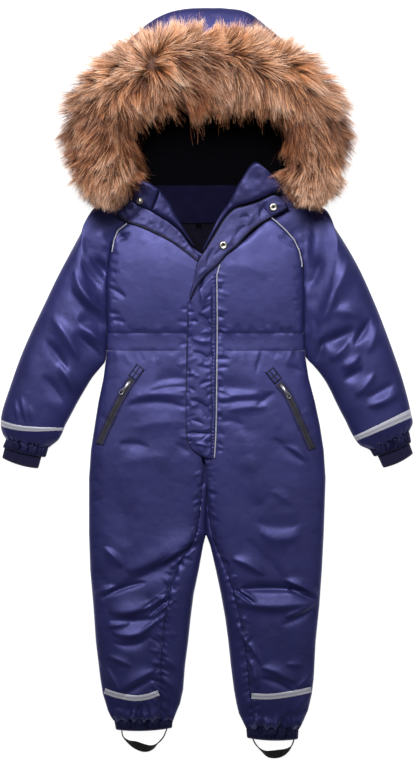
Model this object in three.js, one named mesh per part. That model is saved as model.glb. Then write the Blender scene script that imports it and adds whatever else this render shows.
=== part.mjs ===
// A padded toddler snowsuit with a fur-trimmed hood, laid flat on its back, in millimetres.
// +X is to the viewer's right, +Y towards the hood and +Z up from the surface it lies on.
// Left and right are the viewer's. The front panels lie on the back panels, with a thin slit between.
import * as THREE from "three";

// Driving dimensions
const GAP = 0.3; // between pieces that are sewn or rest together
const ARMHOLE_GAP = 0.5;
const SLIT = 1.0; // between the front wall and the back wall
const EDGE = 1.5; // half the thickness of the cloth at a free side seam
const LIFT = 0.5; // clearance of a strip that lies on a panel
const STRIP = 1.4; // thickness of a flat strip of cloth
const MID = 14; // height of the slit between the padded walls
const SEAM_DIP = 2.5; // how far a sewn edge is drawn down
const TURN_UP = 10; // height of a back panel's side edge
const CENTRE_FRONT = -9; // the zip line
const CENTRE_SEAM = -1.6; // from the placket down to the crotch
const NECK_Y = 281;
const HOOD_LINING_Y = 315;
const WAIST_TOP = 78;
const WAIST_BOTTOM = 50;
const CROTCH_Y = -246;
const HEM_TOP = { left: -541, right: -554 };
const LEG_ROWS = 36;
const GUSSET_ROW = { left: 13, right: 15 }; // the leg row where the inner leg panel starts
const SIDE_ROUND = 58; // how far in from a side seam the padding rounds over
const INSEAM_ROUND = 40;

// Outer edge of the body: raglan armhole, side seam and outer leg
const OUTER = [
  { y: 283, left: -98, right: 84 },
  { y: 266, left: -112, right: 101 },
  { y: 256, left: -127, right: 114 },
  { y: 242, left: -145, right: 129 },
  { y: 227, left: -151, right: 142 },
  { y: 210, left: -154, right: 150 },
  { y: 192, left: -157, right: 154 },
  { y: 163, left: -160, right: 155 },
  { y: 120, left: -160, right: 155 },
  { y: 78, left: -160, right: 155 },
  { y: 50, left: -160.5, right: 156.3 },
  { y: 40, left: -161.3, right: 157.5 },
  { y: 6, left: -166, right: 163 },
  { y: -32, left: -174, right: 173 },
  { y: -70, left: -180, right: 181 },
  { y: -109, left: -186, right: 187 },
  { y: -154, left: -189, right: 190 },
  { y: -243, left: -189, right: 187 },
  { y: -301, left: -187, right: 184 },
  { y: -358, left: -182, right: 180 },
  { y: -416, left: -178, right: 174 },
  { y: -474, left: -171, right: 171 },
  { y: -499, left: -167, right: 168 },
  { y: -525, left: -159, right: 162 },
  { y: -541, left: -150, right: 155 },
  { y: -554, left: -141, right: 147 },
];
const ARMHOLE = OUTER.filter(({ y }) => y >= 40 && y <= 266);

// Inseam edge of each leg, below the crotch
const INSEAM = [
  { y: -246, left: -2, right: -1 },
  { y: -262, left: -6, right: 5 },
  { y: -301, left: -13, right: 14 },
  { y: -339, left: -21, right: 22 },
  { y: -378, left: -26, right: 29 },
  { y: -416, left: -30, right: 34 },
  { y: -454, left: -35, right: 38 },
  { y: -493, left: -38, right: 43 },
  { y: -515, left: -43, right: 47 },
  { y: -531, left: -50, right: 51 },
  { y: -541, left: -55, right: 56 },
  { y: -554, left: -62, right: 64 },
];

// Inner edge of each front leg panel: zip line, centre seam, then the seam to the inner leg panel
const FRONT_INNER = [
  { y: 50, left: -9, right: -8.7 },
  { y: -95, left: -9, right: -8.7 },
  { y: -118, left: -9, right: -5 },
  { y: -134, left: -6.5, right: -1.5 },
  { y: -150, left: -7, right: -1 },
  { y: -185, left: -9, right: 1 },
  { y: -215, left: -12, right: 3 },
  { y: -248, left: -18, right: 9 },
  { y: -264, left: -27, right: 15 },
  { y: -288, left: -42, right: 26 },
  { y: -325, left: -58, right: 39 },
  { y: -365, left: -65, right: 50 },
  { y: -413, left: -70, right: 60 },
  { y: -493, left: -74, right: 68 },
  { y: -554, left: -74, right: 76 },
];

// Top edge of the chest, from the centre front out to the armhole
const CHEST_TOP = [
  { out: 1, left: 266, right: 266 },
  { out: 0.85, left: 257, right: 259 },
  { out: 0.65, left: 248, right: 244 },
  { out: 0.45, left: 237, right: 226 },
  { out: 0.23, left: 221, right: 209 },
  { out: 0, left: 201, right: 196 },
];

// Height of the front at the middle of each section, and of the front wall's edge above the slit
const PROFILE = [
  { y: 283, height: 24, edge: 6 },
  { y: 245, height: 26, edge: 8 },
  { y: 190, height: 30, edge: 8 },
  { y: 131, height: 30, edge: 8 },
  { y: 90, height: 28, edge: 7 },
  { y: 66, height: 26, edge: 5 },
  { y: 40, height: 28, edge: 3 },
  { y: 6, height: 30, edge: 2 },
  { y: -70, height: 31, edge: 2 },
  { y: -154, height: 32, edge: 2 },
  { y: -243, height: 33, edge: 2 },
  { y: -339, height: 34, edge: 2 },
  { y: -430, height: 33, edge: 2 },
  { y: -500, height: 31, edge: 2 },
  { y: -535, height: 26, edge: 2 },
  { y: -556, height: 21, edge: 2 },
];

// The largest folds of the front: centre, direction in degrees, half length, half width and height
const BODY_FOLDS = [
  { x: -118, y: -318, turn: 28, length: 60, width: 17, rise: 3.4 },
  { x: -100, y: -352, turn: 24, length: 58, width: 15, rise: -2.8 },
  { x: -110, y: -388, turn: 8, length: 55, width: 16, rise: 2.6 },
  { x: 112, y: -340, turn: -4, length: 62, width: 15, rise: 3.2 },
  { x: 112, y: -312, turn: -12, length: 60, width: 15, rise: -2.6 },
  { x: 118, y: -455, turn: -14, length: 50, width: 15, rise: 2.2 },
  { x: -120, y: -450, turn: 20, length: 48, width: 15, rise: 2.2 },
  { x: -80, y: -28, turn: 12, length: 62, width: 16, rise: 2.4 },
  { x: -84, y: -60, turn: 16, length: 60, width: 16, rise: -2.4 },
  { x: 62, y: -26, turn: -16, length: 52, width: 15, rise: 2.4 },
  { x: 66, y: 4, turn: -20, length: 44, width: 14, rise: -2.4 },
  { x: -90, y: -185, turn: -30, length: 62, width: 22, rise: 2.2 },
  { x: 96, y: -165, turn: 62, length: 66, width: 20, rise: 2.2 },
];

// Sleeves, from the armhole to the cuff: outer and inner edge, height, and how far a row keeps
// the armhole's curve
const SLEEVE = {
  left: [
    { ox: -112, oy: 266, ix: -161, iy: 40, height: 22, curve: 1 },
    { ox: -173, oy: 283, ix: -163, iy: 32, height: 30, curve: 0.7 },
    { ox: -197, oy: 246, ix: -171, iy: 22, height: 34, curve: 0.35 },
    { ox: -219, oy: 206, ix: -184, iy: 6, height: 35, curve: 0.1 },
    { ox: -240, oy: 166, ix: -195, iy: -12, height: 35, curve: 0 },
    { ox: -261, oy: 122, ix: -206, iy: -31, height: 35, curve: 0 },
    { ox: -280, oy: 82, ix: -214, iy: -46, height: 34, curve: 0 },
    { ox: -298, oy: 40, ix: -221, iy: -59, height: 34, curve: 0 },
    { ox: -314, oy: -5, ix: -226, iy: -68, height: 33, curve: 0 },
    { ox: -327, oy: -45, ix: -229, iy: -75, height: 32, curve: 0 },
    { ox: -330, oy: -67, ix: -232, iy: -83, height: 31, curve: 0 },
    { ox: -327, oy: -82, ix: -239, iy: -94, height: 26, curve: 0 },
    { ox: -322, oy: -90, ix: -252, iy: -103, height: 20, curve: 0 },
  ],
  right: [
    { ox: 101, oy: 266, ix: 157, iy: 40, height: 22, curve: 1 },
    { ox: 181, oy: 280, ix: 162, iy: 34, height: 30, curve: 0.7 },
    { ox: 205, oy: 246, ix: 170, iy: 26, height: 34, curve: 0.35 },
    { ox: 227, oy: 211, ix: 181, iy: 13, height: 35, curve: 0.1 },
    { ox: 246, oy: 176, ix: 190, iy: 0, height: 35, curve: 0 },
    { ox: 264, oy: 136, ix: 198, iy: -15, height: 35, curve: 0 },
    { ox: 278, oy: 102, ix: 206, iy: -32, height: 34, curve: 0 },
    { ox: 294, oy: 59, ix: 214, iy: -48, height: 34, curve: 0 },
    { ox: 309, oy: 16, ix: 222, iy: -63, height: 33, curve: 0 },
    { ox: 320, oy: -22, ix: 229, iy: -78, height: 32, curve: 0 },
    { ox: 327, oy: -53, ix: 237, iy: -92, height: 31, curve: 0 },
    { ox: 329, oy: -66, ix: 246, iy: -102, height: 26, curve: 0 },
    { ox: 324, oy: -77, ix: 260, iy: -107, height: 20, curve: 0 },
  ],
};
const SLEEVE_ROWS = 15;
const SLEEVE_FOLD_LEAN = 1.6; // rows that a fold moves on from one edge of the sleeve to the other
const SLEEVE_INSET = 2.5; // from a sleeve's edge fold to the end of the slit inside it

// The largest folds of a sleeve: row, place across it from outer edge to inner, half sizes and rise
const SLEEVE_FOLDS = [
  { row: 0.9, across: 0.3, rows: 0.5, width: 0.25, rise: -5 },
  { row: 2.6, across: 0.72, rows: 0.45, width: 0.2, rise: -5 },
  { row: 3.4, across: 0.6, rows: 0.4, width: 0.28, rise: 3.5 },
  { row: 4.8, across: 0.72, rows: 0.4, width: 0.22, rise: -4.5 },
  { row: 6.6, across: 0.5, rows: 0.5, width: 0.3, rise: 3 },
  { row: 8.2, across: 0.55, rows: 0.5, width: 0.3, rise: -2.5 },
];

// Elastic bands and knitted cuffs: the two ends of each, as corner points on its outer and inner side
const CUFFS = {
  left: [
    { ox: -322, oy: -91, ix: -254, iy: -104, height: 17 },
    { ox: -328, oy: -105, ix: -259, iy: -121, height: 16 },
    { ox: -325, oy: -106.5, ix: -266, iy: -120.5, height: 12 },
    { ox: -329, oy: -122, ix: -271, iy: -139, height: 12 },
  ],
  right: [
    { ox: 324, oy: -78, ix: 261, iy: -108, height: 17 },
    { ox: 328, oy: -97, ix: 268, iy: -120, height: 16 },
    { ox: 325, oy: -99, ix: 274, iy: -118.5, height: 12 },
    { ox: 331, oy: -115, ix: 283, iy: -138, height: 12 },
  ],
};
const HEMS = {
  left: [
    { ox: -149, oy: -541.5, ix: -55, iy: -541.5, height: 19 },
    { ox: -146, oy: -558, ix: -56, iy: -555, height: 18 },
  ],
  right: [
    { ox: 147, oy: -554.5, ix: 63, iy: -554.5, height: 19 },
    { ox: 146, oy: -573, ix: 64, iy: -571, height: 18 },
  ],
};
const GATHERS = 20; // round each elastic band
const GATHER_DEPTH = 1.3;
const CUFF_SLIT = 2.5; // between the two layers of a band that lies flat

// Foot straps: path on the surface, and how far the strap lies over, 0 on its edge and 90 flat
const STRAPS = {
  left: [
    { x: -137, y: -558.2, lean: 0, width: 9 },
    { x: -135, y: -569, lean: 5, width: 9 },
    { x: -127, y: -577, lean: 30, width: 10 },
    { x: -115, y: -583, lean: 70, width: 13 },
    { x: -101, y: -588, lean: 70, width: 14 },
    { x: -89, y: -587, lean: 45, width: 11 },
    { x: -79, y: -580, lean: 5, width: 9 },
    { x: -70, y: -570, lean: 0, width: 9 },
    { x: -64, y: -555.8, lean: 0, width: 9 },
  ],
  right: [
    { x: 73, y: -571.7, lean: 0, width: 9 },
    { x: 79, y: -583, lean: 0, width: 9 },
    { x: 90, y: -593, lean: 25, width: 10 },
    { x: 102, y: -598, lean: 70, width: 13 },
    { x: 116, y: -597, lean: 70, width: 14 },
    { x: 128, y: -592, lean: 45, width: 11 },
    { x: 136, y: -584, lean: 5, width: 9 },
    { x: 140, y: -573.4, lean: 0, width: 9 },
  ],
};
const STRAP_THICK = 1.6;

// The hood's wall, from its edge in plan in to its rim under the fur
const HOOD = [
  { ex: -150, ey: 292, rx: -124, ry: 292 },
  { ex: -184, ey: 331, rx: -150, ry: 335 },
  { ex: -197, ey: 387, rx: -168, ry: 386 },
  { ex: -187, ey: 451, rx: -158, ry: 437 },
  { ex: -155, ey: 509, rx: -128, ry: 474 },
  { ex: -112, ey: 558, rx: -88, ry: 494 },
  { ex: -62, ey: 590, rx: -44, ry: 501 },
  { ex: 0, ey: 598, rx: 0, ry: 500 },
  { ex: 58, ey: 592, rx: 44, ry: 499 },
  { ex: 106, ey: 560, rx: 90, ry: 489 },
  { ex: 154, ey: 509, rx: 128, ry: 466 },
  { ex: 185, ey: 449, rx: 158, ry: 431 },
  { ex: 195, ey: 387, rx: 170, ry: 384 },
  { ex: 186, ey: 331, rx: 152, ry: 335 },
  { ex: 154, ey: 292, rx: 128, ry: 292 },
];

// The line of the fur trim, with its half width
const FUR_LINE = [
  { x: -163, y: 282, half: 26 },
  { x: -157, y: 308, half: 50 },
  { x: -156, y: 338, half: 62 },
  { x: -168, y: 386, half: 62 },
  { x: -160, y: 433, half: 63 },
  { x: -128, y: 474, half: 65 },
  { x: -84, y: 496, half: 70 },
  { x: -42, y: 501, half: 74 },
  { x: 0, y: 500, half: 75 },
  { x: 42, y: 499, half: 74 },
  { x: 86, y: 491, half: 70 },
  { x: 128, y: 466, half: 65 },
  { x: 160, y: 428, half: 64 },
  { x: 171, y: 384, half: 61 },
  { x: 168, y: 338, half: 54 },
  { x: 163, y: 308, half: 48 },
  { x: 160, y: 282, half: 34 },
];
const FUR_LOW = 40; // underside of the fur along its line
const FUR_HALF_HEIGHT = 48;
const FUR_STATIONS = 40;
const FUR_SIDES = 12;

// The hood wall's section at a station: share of the way out from the fur line to the hood's edge,
// how far short of that it stays, and its height, for its outer face and its inner one
const HOOD_SECTION = [
  { share: 1, short: 14, high: 0, inShort: 14, inHigh: 10 },
  { share: 1, short: 4, high: 3, inShort: 9, inHigh: 12 },
  { share: 1, short: 0, high: 12, inShort: 6, inHigh: 15 },
  { share: 1, short: 1.5, high: 23, inShort: 8, inHigh: 19 },
  { share: 0.68, short: 0, high: 33, inShort: 3, inHigh: 26 },
  { share: 0.34, short: 0, high: 38, inShort: 1.5, inHigh: 31.5 },
  { share: 0, short: 0, high: 39.5, inShort: 0, inHigh: 33.5 },
];
const HOOD_FLOOR = 10;
const HOOD_FOOT = 14; // the wall's foot lies this far inside the hood's edge
const HOOD_STATIONS = 28;
const HOOD_SEAM = 0.001; // half the gap between two pieces of the wall, as a share of its line
const FLOOR_SEAM = 0.6;
const NECK_HALF = { left: -104, right: 96 };
const HOOD_SPLITS = { left: [0, 11], top: [11, 17], right: [17, 28] };

// Collar and front edges, as pairs of edge lines from the centre front outwards
const COLLAR_BAND = [
  { lx: -15, ly: 193, ux: -12, uy: 200 },
  { lx: -37, ly: 210, ux: -26, uy: 217 },
  { lx: -59, ly: 226, ux: -43, uy: 241 },
  { lx: -82, ly: 238, ux: -62, uy: 256 },
  { lx: -104, ly: 248, ux: -80, uy: 266 },
  { lx: -127, ly: 256, ux: -105, uy: 277 },
  { lx: -145, ly: 267, ux: -124, uy: 287 },
];
const COLLAR_INNER = [
  { lx: -22, ly: 216.5, ux: -20, uy: 218.5 },
  { lx: -42, ly: 242, ux: -38, uy: 247 },
  { lx: -61, ly: 257, ux: -50, uy: 268 },
  { lx: -77, ly: 266, ux: -59, uy: 285 },
  { lx: -89, ly: 274, ux: -76, uy: 307 },
];
const CHIN_LEFT = [
  { lx: -89.5, ly: 274.2, ux: -76.5, uy: 307.5 },
  { lx: -102, ly: 279, ux: -92, uy: 318 },
  { lx: -112, ly: 284, ux: -106, uy: 323 },
  { lx: -121, ly: 289, ux: -120, uy: 324 },
];
const CHIN_RIGHT = [
  { lx: -5.5, ly: 209, ux: -7, uy: 212 },
  { lx: 8, ly: 231, ux: 4, uy: 236 },
  { lx: 27, ly: 262, ux: 20, uy: 266 },
  { lx: 44, ly: 278.5, ux: 34, uy: 286 },
  { lx: 62, ly: 284, ux: 42, uy: 301 },
  { lx: 82, ly: 291, ux: 54, uy: 323 },
  { lx: 108, ly: 302, ux: 77, uy: 351 },
  { lx: 128, ly: 306, ux: 104, uy: 330 },
];
const FLAP_TURNED = [
  { lx: -27, ly: 130, ux: -28, uy: 138 },
  { lx: -18, ly: 150, ux: -21, uy: 164 },
  { lx: -2, ly: 171, ux: -15, uy: 190 },
  { lx: 17, ly: 188, ux: -5, uy: 207 },
  { lx: 31, ly: 204, ux: 9, uy: 229 },
  { lx: 47, ly: 217, ux: 28, uy: 260 },
  { lx: 66, ly: 238, ux: 44, uy: 276 },
  { lx: 82, ly: 251, ux: 61, uy: 281 },
  { lx: 102, ly: 263, ux: 82, uy: 287.5 },
  { lx: 123, ly: 274, ux: 106, uy: 298 },
  { lx: 130, ly: 279, ux: 122, uy: 290 },
];
const PLACKET = [
  { lx: -31, ly: 127, ux: 14, uy: 176 },
  { lx: -31, ly: 96, ux: 14.5, uy: 120 },
  { lx: -32, ly: 64, ux: 14.5, uy: 64 },
  { lx: -33, ly: 14, ux: 14, uy: 14 },
  { lx: -33.5, ly: -36, ux: 13.5, uy: -36 },
  { lx: -33, ly: -80, ux: 12.5, uy: -80 },
  { lx: -29, ly: -99, ux: 11.5, uy: -100 },
  { lx: -20, ly: -111, ux: 11, uy: -108 },
  { lx: -3, ly: -121, ux: 10, uy: -122 },
];
const PLACKET_RAISE = 2;
const FLAP_RAISE = 3.2;
const FLAP_THICK = 2;
const COLLAR_THICK = 2.2;
const CHIN_THICK = 8;
const NECK_SEAT = MID + GAP + STRIP + GAP; // on the neck facing
// How high the neck's pieces rise towards their outer ends
const BAND_RISE = 1.5;
const INNER_RISE = 4;
const CHIN_LEFT_LOW = { base: 24, over: 4, along: 1.5 };
const CHIN_RIGHT_RISE = { along: 10, over: 2 };

// What shows inside the open neck: a facing, and the back's lining below it
const FACING = [
  { lx: -62, ly: 254.3, ux: -100, uy: 315 },
  { lx: 51, ly: 254.3, ux: 88, uy: 315 },
];
const BACK_LINING = [
  { lx: -54, ly: 240, ux: -62, uy: 254 },
  { lx: -12, ly: 208, ux: -24, uy: 254 },
  { lx: 2, ly: 208, ux: 14, uy: 254 },
  { lx: 42, ly: 235, ux: 51, uy: 254 },
];
const LINING_THICK = 1;

// Reflective trim, pockets and fastenings
const PIPING_RADIUS = 1.1;
const RAGLAN_PIPING = { left: [253, 208], right: [262, 184] }; // between these heights in plan
const PIPING_INSET = 2.5; // from the armhole seam
const PLACKET_PIPING = { top: { x: 20.6, y: 187 }, rows: [0.15, 7.85], turn: 0.06 };
const LEG_TAPE = {
  left: [
    { x: -164, y: -494 },
    { x: -144, y: -501 },
    { x: -118, y: -507 },
    { x: -96, y: -503 },
    { x: -77, y: -497 },
  ],
  right: [
    { x: 71, y: -501 },
    { x: 101, y: -502 },
    { x: 133, y: -498 },
    { x: 167, y: -492 },
  ],
};
const TAPE_HALF = 4.6;
const TAPE_THICK = 0.8;
const SLEEVE_TAPE_ROW = 9.9;
const TAPE_ROWS = 0.28; // half the tape's width, in rows of the sleeve's table
const POCKET_ZIP = {
  left: [
    { x: -121, y: 4 },
    { x: -139, y: -20 },
    { x: -158, y: -62 },
    { x: -176, y: -108 },
  ],
  right: [
    { x: 115, y: -2 },
    { x: 130, y: -22 },
    { x: 150, y: -66 },
    { x: 168, y: -106 },
  ],
};
const ZIP_HALF = 5.5;
const GARAGE = {
  left: [
    { x: -119.5, y: 6 },
    { x: -105.5, y: 25 },
  ],
  right: [
    { x: 113.5, y: 1.5 },
    { x: 99.5, y: 19.5 },
  ],
};
const GARAGE_HALF = 8;
const PULL = {
  left: { x: -126, y: -3, turn: 232 },
  right: { x: 121, y: -9, turn: 306 },
};
const PULL_LENGTH = 25;
const PULL_HALF = 3.6;
const PULL_THICK = 1.8;
const PULL_CLEAR = 0.8; // above the zip tape
const SNAPS = {
  lower: { x: 26, y: 218 },
  upper: { x: 106, y: 279 },
  stud: { x: -107, y: 289, along: 0.45, over: 0.25 },
};
const SNAP_CLEAR = 1;
// Press fasteners: radius and height along the profile of a socket with a hole, and of a stud with a knob
const SOCKET = [
  { r: 2.2, h: 0 },
  { r: 6.8, h: 0 },
  { r: 6.8, h: 0.6 },
  { r: 5.4, h: 2.4 },
  { r: 3.2, h: 2.4 },
  { r: 2.2, h: 1.6 },
  { r: 2.2, h: 0 },
];
const STUD = [
  { r: 0, h: 0 },
  { r: 5.4, h: 0 },
  { r: 5.4, h: 1 },
  { r: 3.4, h: 1.4 },
  { r: 2.4, h: 2.4 },
  { r: 2.8, h: 3.4 },
  { r: 2, h: 4.2 },
  { r: 0, h: 4.2 },
];
const SNAP_SIDES = 14;
const LABEL = { x: -13.2, y: 253, half: 4.8, down: 6.5, raise: 1.1, thick: 0.6 };

// Colours, as read from the garment
const cloth = (color, roughness = 0.45) =>
  new THREE.MeshStandardMaterial({ color, roughness, metalness: 0 });
const NYLON = cloth(0x413d80);
const LINING = cloth(0x1a1830, 0.8);
const BLACK_LINING = cloth(0x0c0b14, 0.9);
const RIB = cloth(0x1d1a52, 0.85);
const FUR = cloth(0xb98a66, 0.95);
const REFLECTIVE = cloth(0xb9b9c2, 0.35);
const WEBBING = cloth(0x121214, 0.8);
const ZIP_TAPE = cloth(0x3a3746, 0.6);
const METAL = new THREE.MeshStandardMaterial({ color: 0xb8b4ac, roughness: 0.3, metalness: 1 });

const suit = new THREE.Group();

function add(name, geometry, material) {
  const mesh = new THREE.Mesh(geometry, material);
  mesh.name = name;
  suit.add(mesh);
  return mesh;
}

const mix = (a, b, t) => a + (b - a) * t;
const clamp = (t) => Math.min(1, Math.max(0, t));
const dome = (t) => Math.sqrt(1 - (1 - clamp(t)) ** 2);
const steps = (n, f) => Array.from({ length: n + 1 }, (_, i) => f(i / n, i));

// A smooth line through a table's column, as a function of row number
function byRow(table, column) {
  return (row) => {
    const at = (i) => table[Math.min(table.length - 1, Math.max(0, i))][column];
    const i = Math.min(table.length - 2, Math.max(0, Math.floor(row)));
    const t = row - i;
    const slopeA = (at(i + 1) - at(i - 1)) / 2;
    const slopeB = (at(i + 2) - at(i)) / 2;
    const h = t * t * (3 - 2 * t);
    return at(i) * (1 - h) + at(i + 1) * h + slopeA * t * (1 - t) ** 2 - slopeB * t * t * (1 - t);
  };
}

// A line through a table's column as a function of another, which falls from row to row
function lookup(table, key, column) {
  return (k) => {
    const below = table.findIndex((row) => row[key] < k);
    const i = Math.max(0, (below < 0 ? table.length - 1 : below) - 1);
    const [a, b] = [table[i], table[i + 1]];
    return mix(a[column], b[column], clamp((a[key] - k) / (a[key] - b[key])));
  };
}

const bothSides = (table) => ({ left: lookup(table, "y", "left"), right: lookup(table, "y", "right") });

// A solid from points and triangles, turned so that its faces point out
function solid(points, faces) {
  let volume = 0;
  for (const [a, b, c] of faces) {
    const [p, q, r] = [points[a], points[b], points[c]];
    volume +=
      p[0] * (q[1] * r[2] - q[2] * r[1]) -
      p[1] * (q[0] * r[2] - q[2] * r[0]) +
      p[2] * (q[0] * r[1] - q[1] * r[0]);
  }
  const outward = volume > 0 ? faces : faces.map(([a, b, c]) => [a, c, b]);
  return new THREE.BufferGeometry()
    .setAttribute("position", new THREE.Float32BufferAttribute(points.flat(), 3))
    .setIndex(outward.flat());
}

// The rim of a grid of points, as indexes in order
function rimOf(rows, columns) {
  const rim = [];
  for (let j = 0; j < columns - 1; j++) rim.push(j);
  for (let i = 0; i < rows - 1; i++) rim.push(i * columns + columns - 1);
  for (let j = columns - 1; j > 0; j--) rim.push((rows - 1) * columns + j);
  for (let i = rows - 1; i > 0; i--) rim.push(i * columns);
  return rim;
}

// A closed slab between two matching grids of points
function slab(top, bottom) {
  const [rows, columns] = [top.length, top[0].length];
  const points = [...top.flat(), ...bottom.flat()];
  const under = rows * columns;
  const at = (i, j) => i * columns + j;
  const faces = [];
  const quad = (a, b, c, d) => faces.push([a, b, c], [a, c, d]);
  for (let i = 0; i < rows - 1; i++)
    for (let j = 0; j < columns - 1; j++) {
      const corners = [at(i, j), at(i + 1, j), at(i + 1, j + 1), at(i, j + 1)];
      quad(...corners);
      quad(...corners.map((k) => k + under).reverse());
    }
  const rim = rimOf(rows, columns);
  rim.forEach((a, k) => {
    const b = rim[(k + 1) % rim.length];
    quad(a, b, b + under, a + under);
  });
  return solid(points, faces);
}

// A wall between outer and inner rings of points, open at both ends
function tubeWall(outer, inner) {
  const rings = [...outer, ...inner.slice().reverse()];
  const count = outer[0].length;
  const faces = [];
  rings.forEach((_, i) => {
    const next = (i + 1) % rings.length;
    for (let k = 0; k < count; k++) {
      const [a, b] = [i * count + k, i * count + ((k + 1) % count)];
      const [c, d] = [next * count + ((k + 1) % count), next * count + k];
      faces.push([a, b, c], [a, c, d]);
    }
  });
  return solid(rings.flat(), faces);
}

// A solid through rings of points, closed at both ends
function loft(rings) {
  const count = rings[0].length;
  const points = rings.flat();
  const faces = [];
  for (let i = 0; i < rings.length - 1; i++)
    for (let k = 0; k < count; k++) {
      const [a, b] = [i * count + k, i * count + ((k + 1) % count)];
      faces.push([a, b, b + count], [a, b + count, a + count]);
    }
  for (const [ring, flip] of [[0, false], [rings.length - 1, true]]) {
    const middle = points.length;
    points.push([0, 1, 2].map((c) => rings[ring].reduce((s, p) => s + p[c], 0) / count));
    for (let k = 0; k < count; k++) {
      const [a, b] = [ring * count + k, ring * count + ((k + 1) % count)];
      faces.push(flip ? [middle, a, b] : [middle, b, a]);
    }
  }
  return solid(points, faces);
}

// Soft ridges and troughs of the front, in its own plan
function bodyFolds(x, y) {
  return BODY_FOLDS.reduce((sum, f) => {
    const turn = THREE.MathUtils.degToRad(f.turn);
    const along = (x - f.x) * Math.cos(turn) + (y - f.y) * Math.sin(turn);
    const across = (y - f.y) * Math.cos(turn) - (x - f.x) * Math.sin(turn);
    return sum + f.rise * Math.exp(-((along / f.length) ** 2) - (across / f.width) ** 2);
  }, 0);
}

const outerEdge = bothSides(OUTER);
const inseam = bothSides(INSEAM);
const frontInner = bothSides(FRONT_INNER);
const bodyHeight = lookup(PROFILE, "y", "height");
const bodyEdge = lookup(PROFILE, "y", "edge");
const innerEdge = (side, y) => (y > CROTCH_Y ? CENTRE_SEAM : inseam[side](y));

// Top of the front at a place in plan: a dome that falls to both side seams, and to the crotch and inseams
function frontTop(x, y) {
  const side = x < CENTRE_SEAM ? "left" : "right";
  const low = MID + SLIT / 2 + bodyEdge(y);
  const fromSide = Math.abs(x - outerEdge[side](y));
  const fromInner = Math.abs(x - innerEdge(side, y));
  const split = clamp((-110 - y) / (-110 - CROTCH_Y));
  const legs = split * split * (3 - 2 * split);
  const width = fromSide + fromInner;
  const inner = 1 - legs * (1 - dome(fromInner / Math.min(INSEAM_ROUND, width / 2)));
  const shape = dome(fromSide / Math.min(SIDE_ROUND, width / 2)) * inner;
  return mix(low, bodyHeight(y), shape) + bodyFolds(x, y) * shape;
}

// Places from 0 to 1 across a panel, crowded where the padding rounds over
const PLACES = {
  even: (t) => t,
  start: (t) => mix(t, 1 - Math.cos((t * Math.PI) / 2), 0.75),
  end: (t) => mix(t, Math.sin((t * Math.PI) / 2), 0.75),
  both: (t) => mix(t, (1 - Math.cos(t * Math.PI)) / 2, 0.75),
};
const placesTo = { left: "start", right: "end" };
const across = (kind, count) => steps(count, PLACES[kind]);

// A grid of places in plan, with rows down the shares given and columns between two side lines
function planGrid({ left, right, top, bottom, down, columns }) {
  return down.map((v) =>
    columns.map((u) => {
      const y = mix(top(u), bottom(u), v);
      return [mix(left(y), right(y), u), y];
    }),
  );
}

// A padded panel: a modelled face over its grid, and a plain flat face
function paddedPanel(name, face, flatZ) {
  const [rows, columns] = [face.length, face[0].length];
  const points = face.flat();
  const at = (i, j) => i * columns + j;
  const faces = [];
  for (let i = 0; i < rows - 1; i++)
    for (let j = 0; j < columns - 1; j++)
      faces.push([at(i, j), at(i + 1, j), at(i + 1, j + 1)], [at(i, j), at(i + 1, j + 1), at(i, j + 1)]);
  const rim = rimOf(rows, columns);
  const first = points.length;
  rim.forEach((k) => points.push([points[k][0], points[k][1], flatZ]));
  rim.forEach((a, k) => {
    const next = (k + 1) % rim.length;
    faces.push([a, rim[next], first + next], [a, first + next, first + k]);
  });
  const outline = rim.map((k) => new THREE.Vector2(points[k][0], points[k][1]));
  const flat = THREE.ShapeUtils.triangulateShape(outline, []);
  const clockwise = THREE.ShapeUtils.isClockWise(outline);
  for (const [a, b, c] of flat) {
    const corners = clockwise ? [a, c, b] : [a, b, c];
    faces.push(corners.map((k) => k + first));
  }
  return add(name, solid(points, faces), NYLON);
}

// A front panel, with its sewn edges drawn down
function frontPanel(name, grid, sewn) {
  const rows = grid.length - 1;
  const columns = grid[0].length - 1;
  const isSewn = (i, j) =>
    (sewn.includes("top") && i === 0) ||
    (sewn.includes("bottom") && i === rows) ||
    (sewn.includes("left") && j === 0) ||
    (sewn.includes("right") && j === columns);
  const low = MID + SLIT / 2;
  const face = grid.map((row, i) =>
    row.map(([x, y], j) => {
      const z = frontTop(x, y);
      return [x, y, isSewn(i, j) ? Math.max(low + 2, z - SEAM_DIP) : z];
    }),
  );
  return paddedPanel(name, face, low);
}

// A back panel, flat underneath and turned up at its free side seams
function backPanel(name, grid, free) {
  const columns = grid[0].length - 1;
  const isFree = (j) => (j === 0 && free.includes("left")) || (j === columns && free.includes("right"));
  const face = grid.map((row) => row.map(([x, y], j) => [x, y, isFree(j) ? TURN_UP : 0]));
  return paddedPanel(name, face, MID - SLIT / 2);
}

const OTHER = { left: "right", right: "left" };
const INWARD = { left: 1, right: -1 }; // the sign of x from a side seam to the centre
const fromTo = (side, outer, inner) =>
  side === "left" ? { left: outer, right: inner } : { left: inner, right: outer };
const shares = (ys) => ys.map((y) => (ys[0] - y) / (ys[0] - ys[ys.length - 1]));
const chestRows = ARMHOLE.map(({ y }) => y).filter((y) => y > WAIST_TOP).concat(WAIST_TOP + GAP / 2);
const hemRow = (side, row) => mix(WAIST_BOTTOM - GAP / 2, HEM_TOP[side], row / LEG_ROWS);
const evenly = (count) => steps(count, (t) => t);

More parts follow.
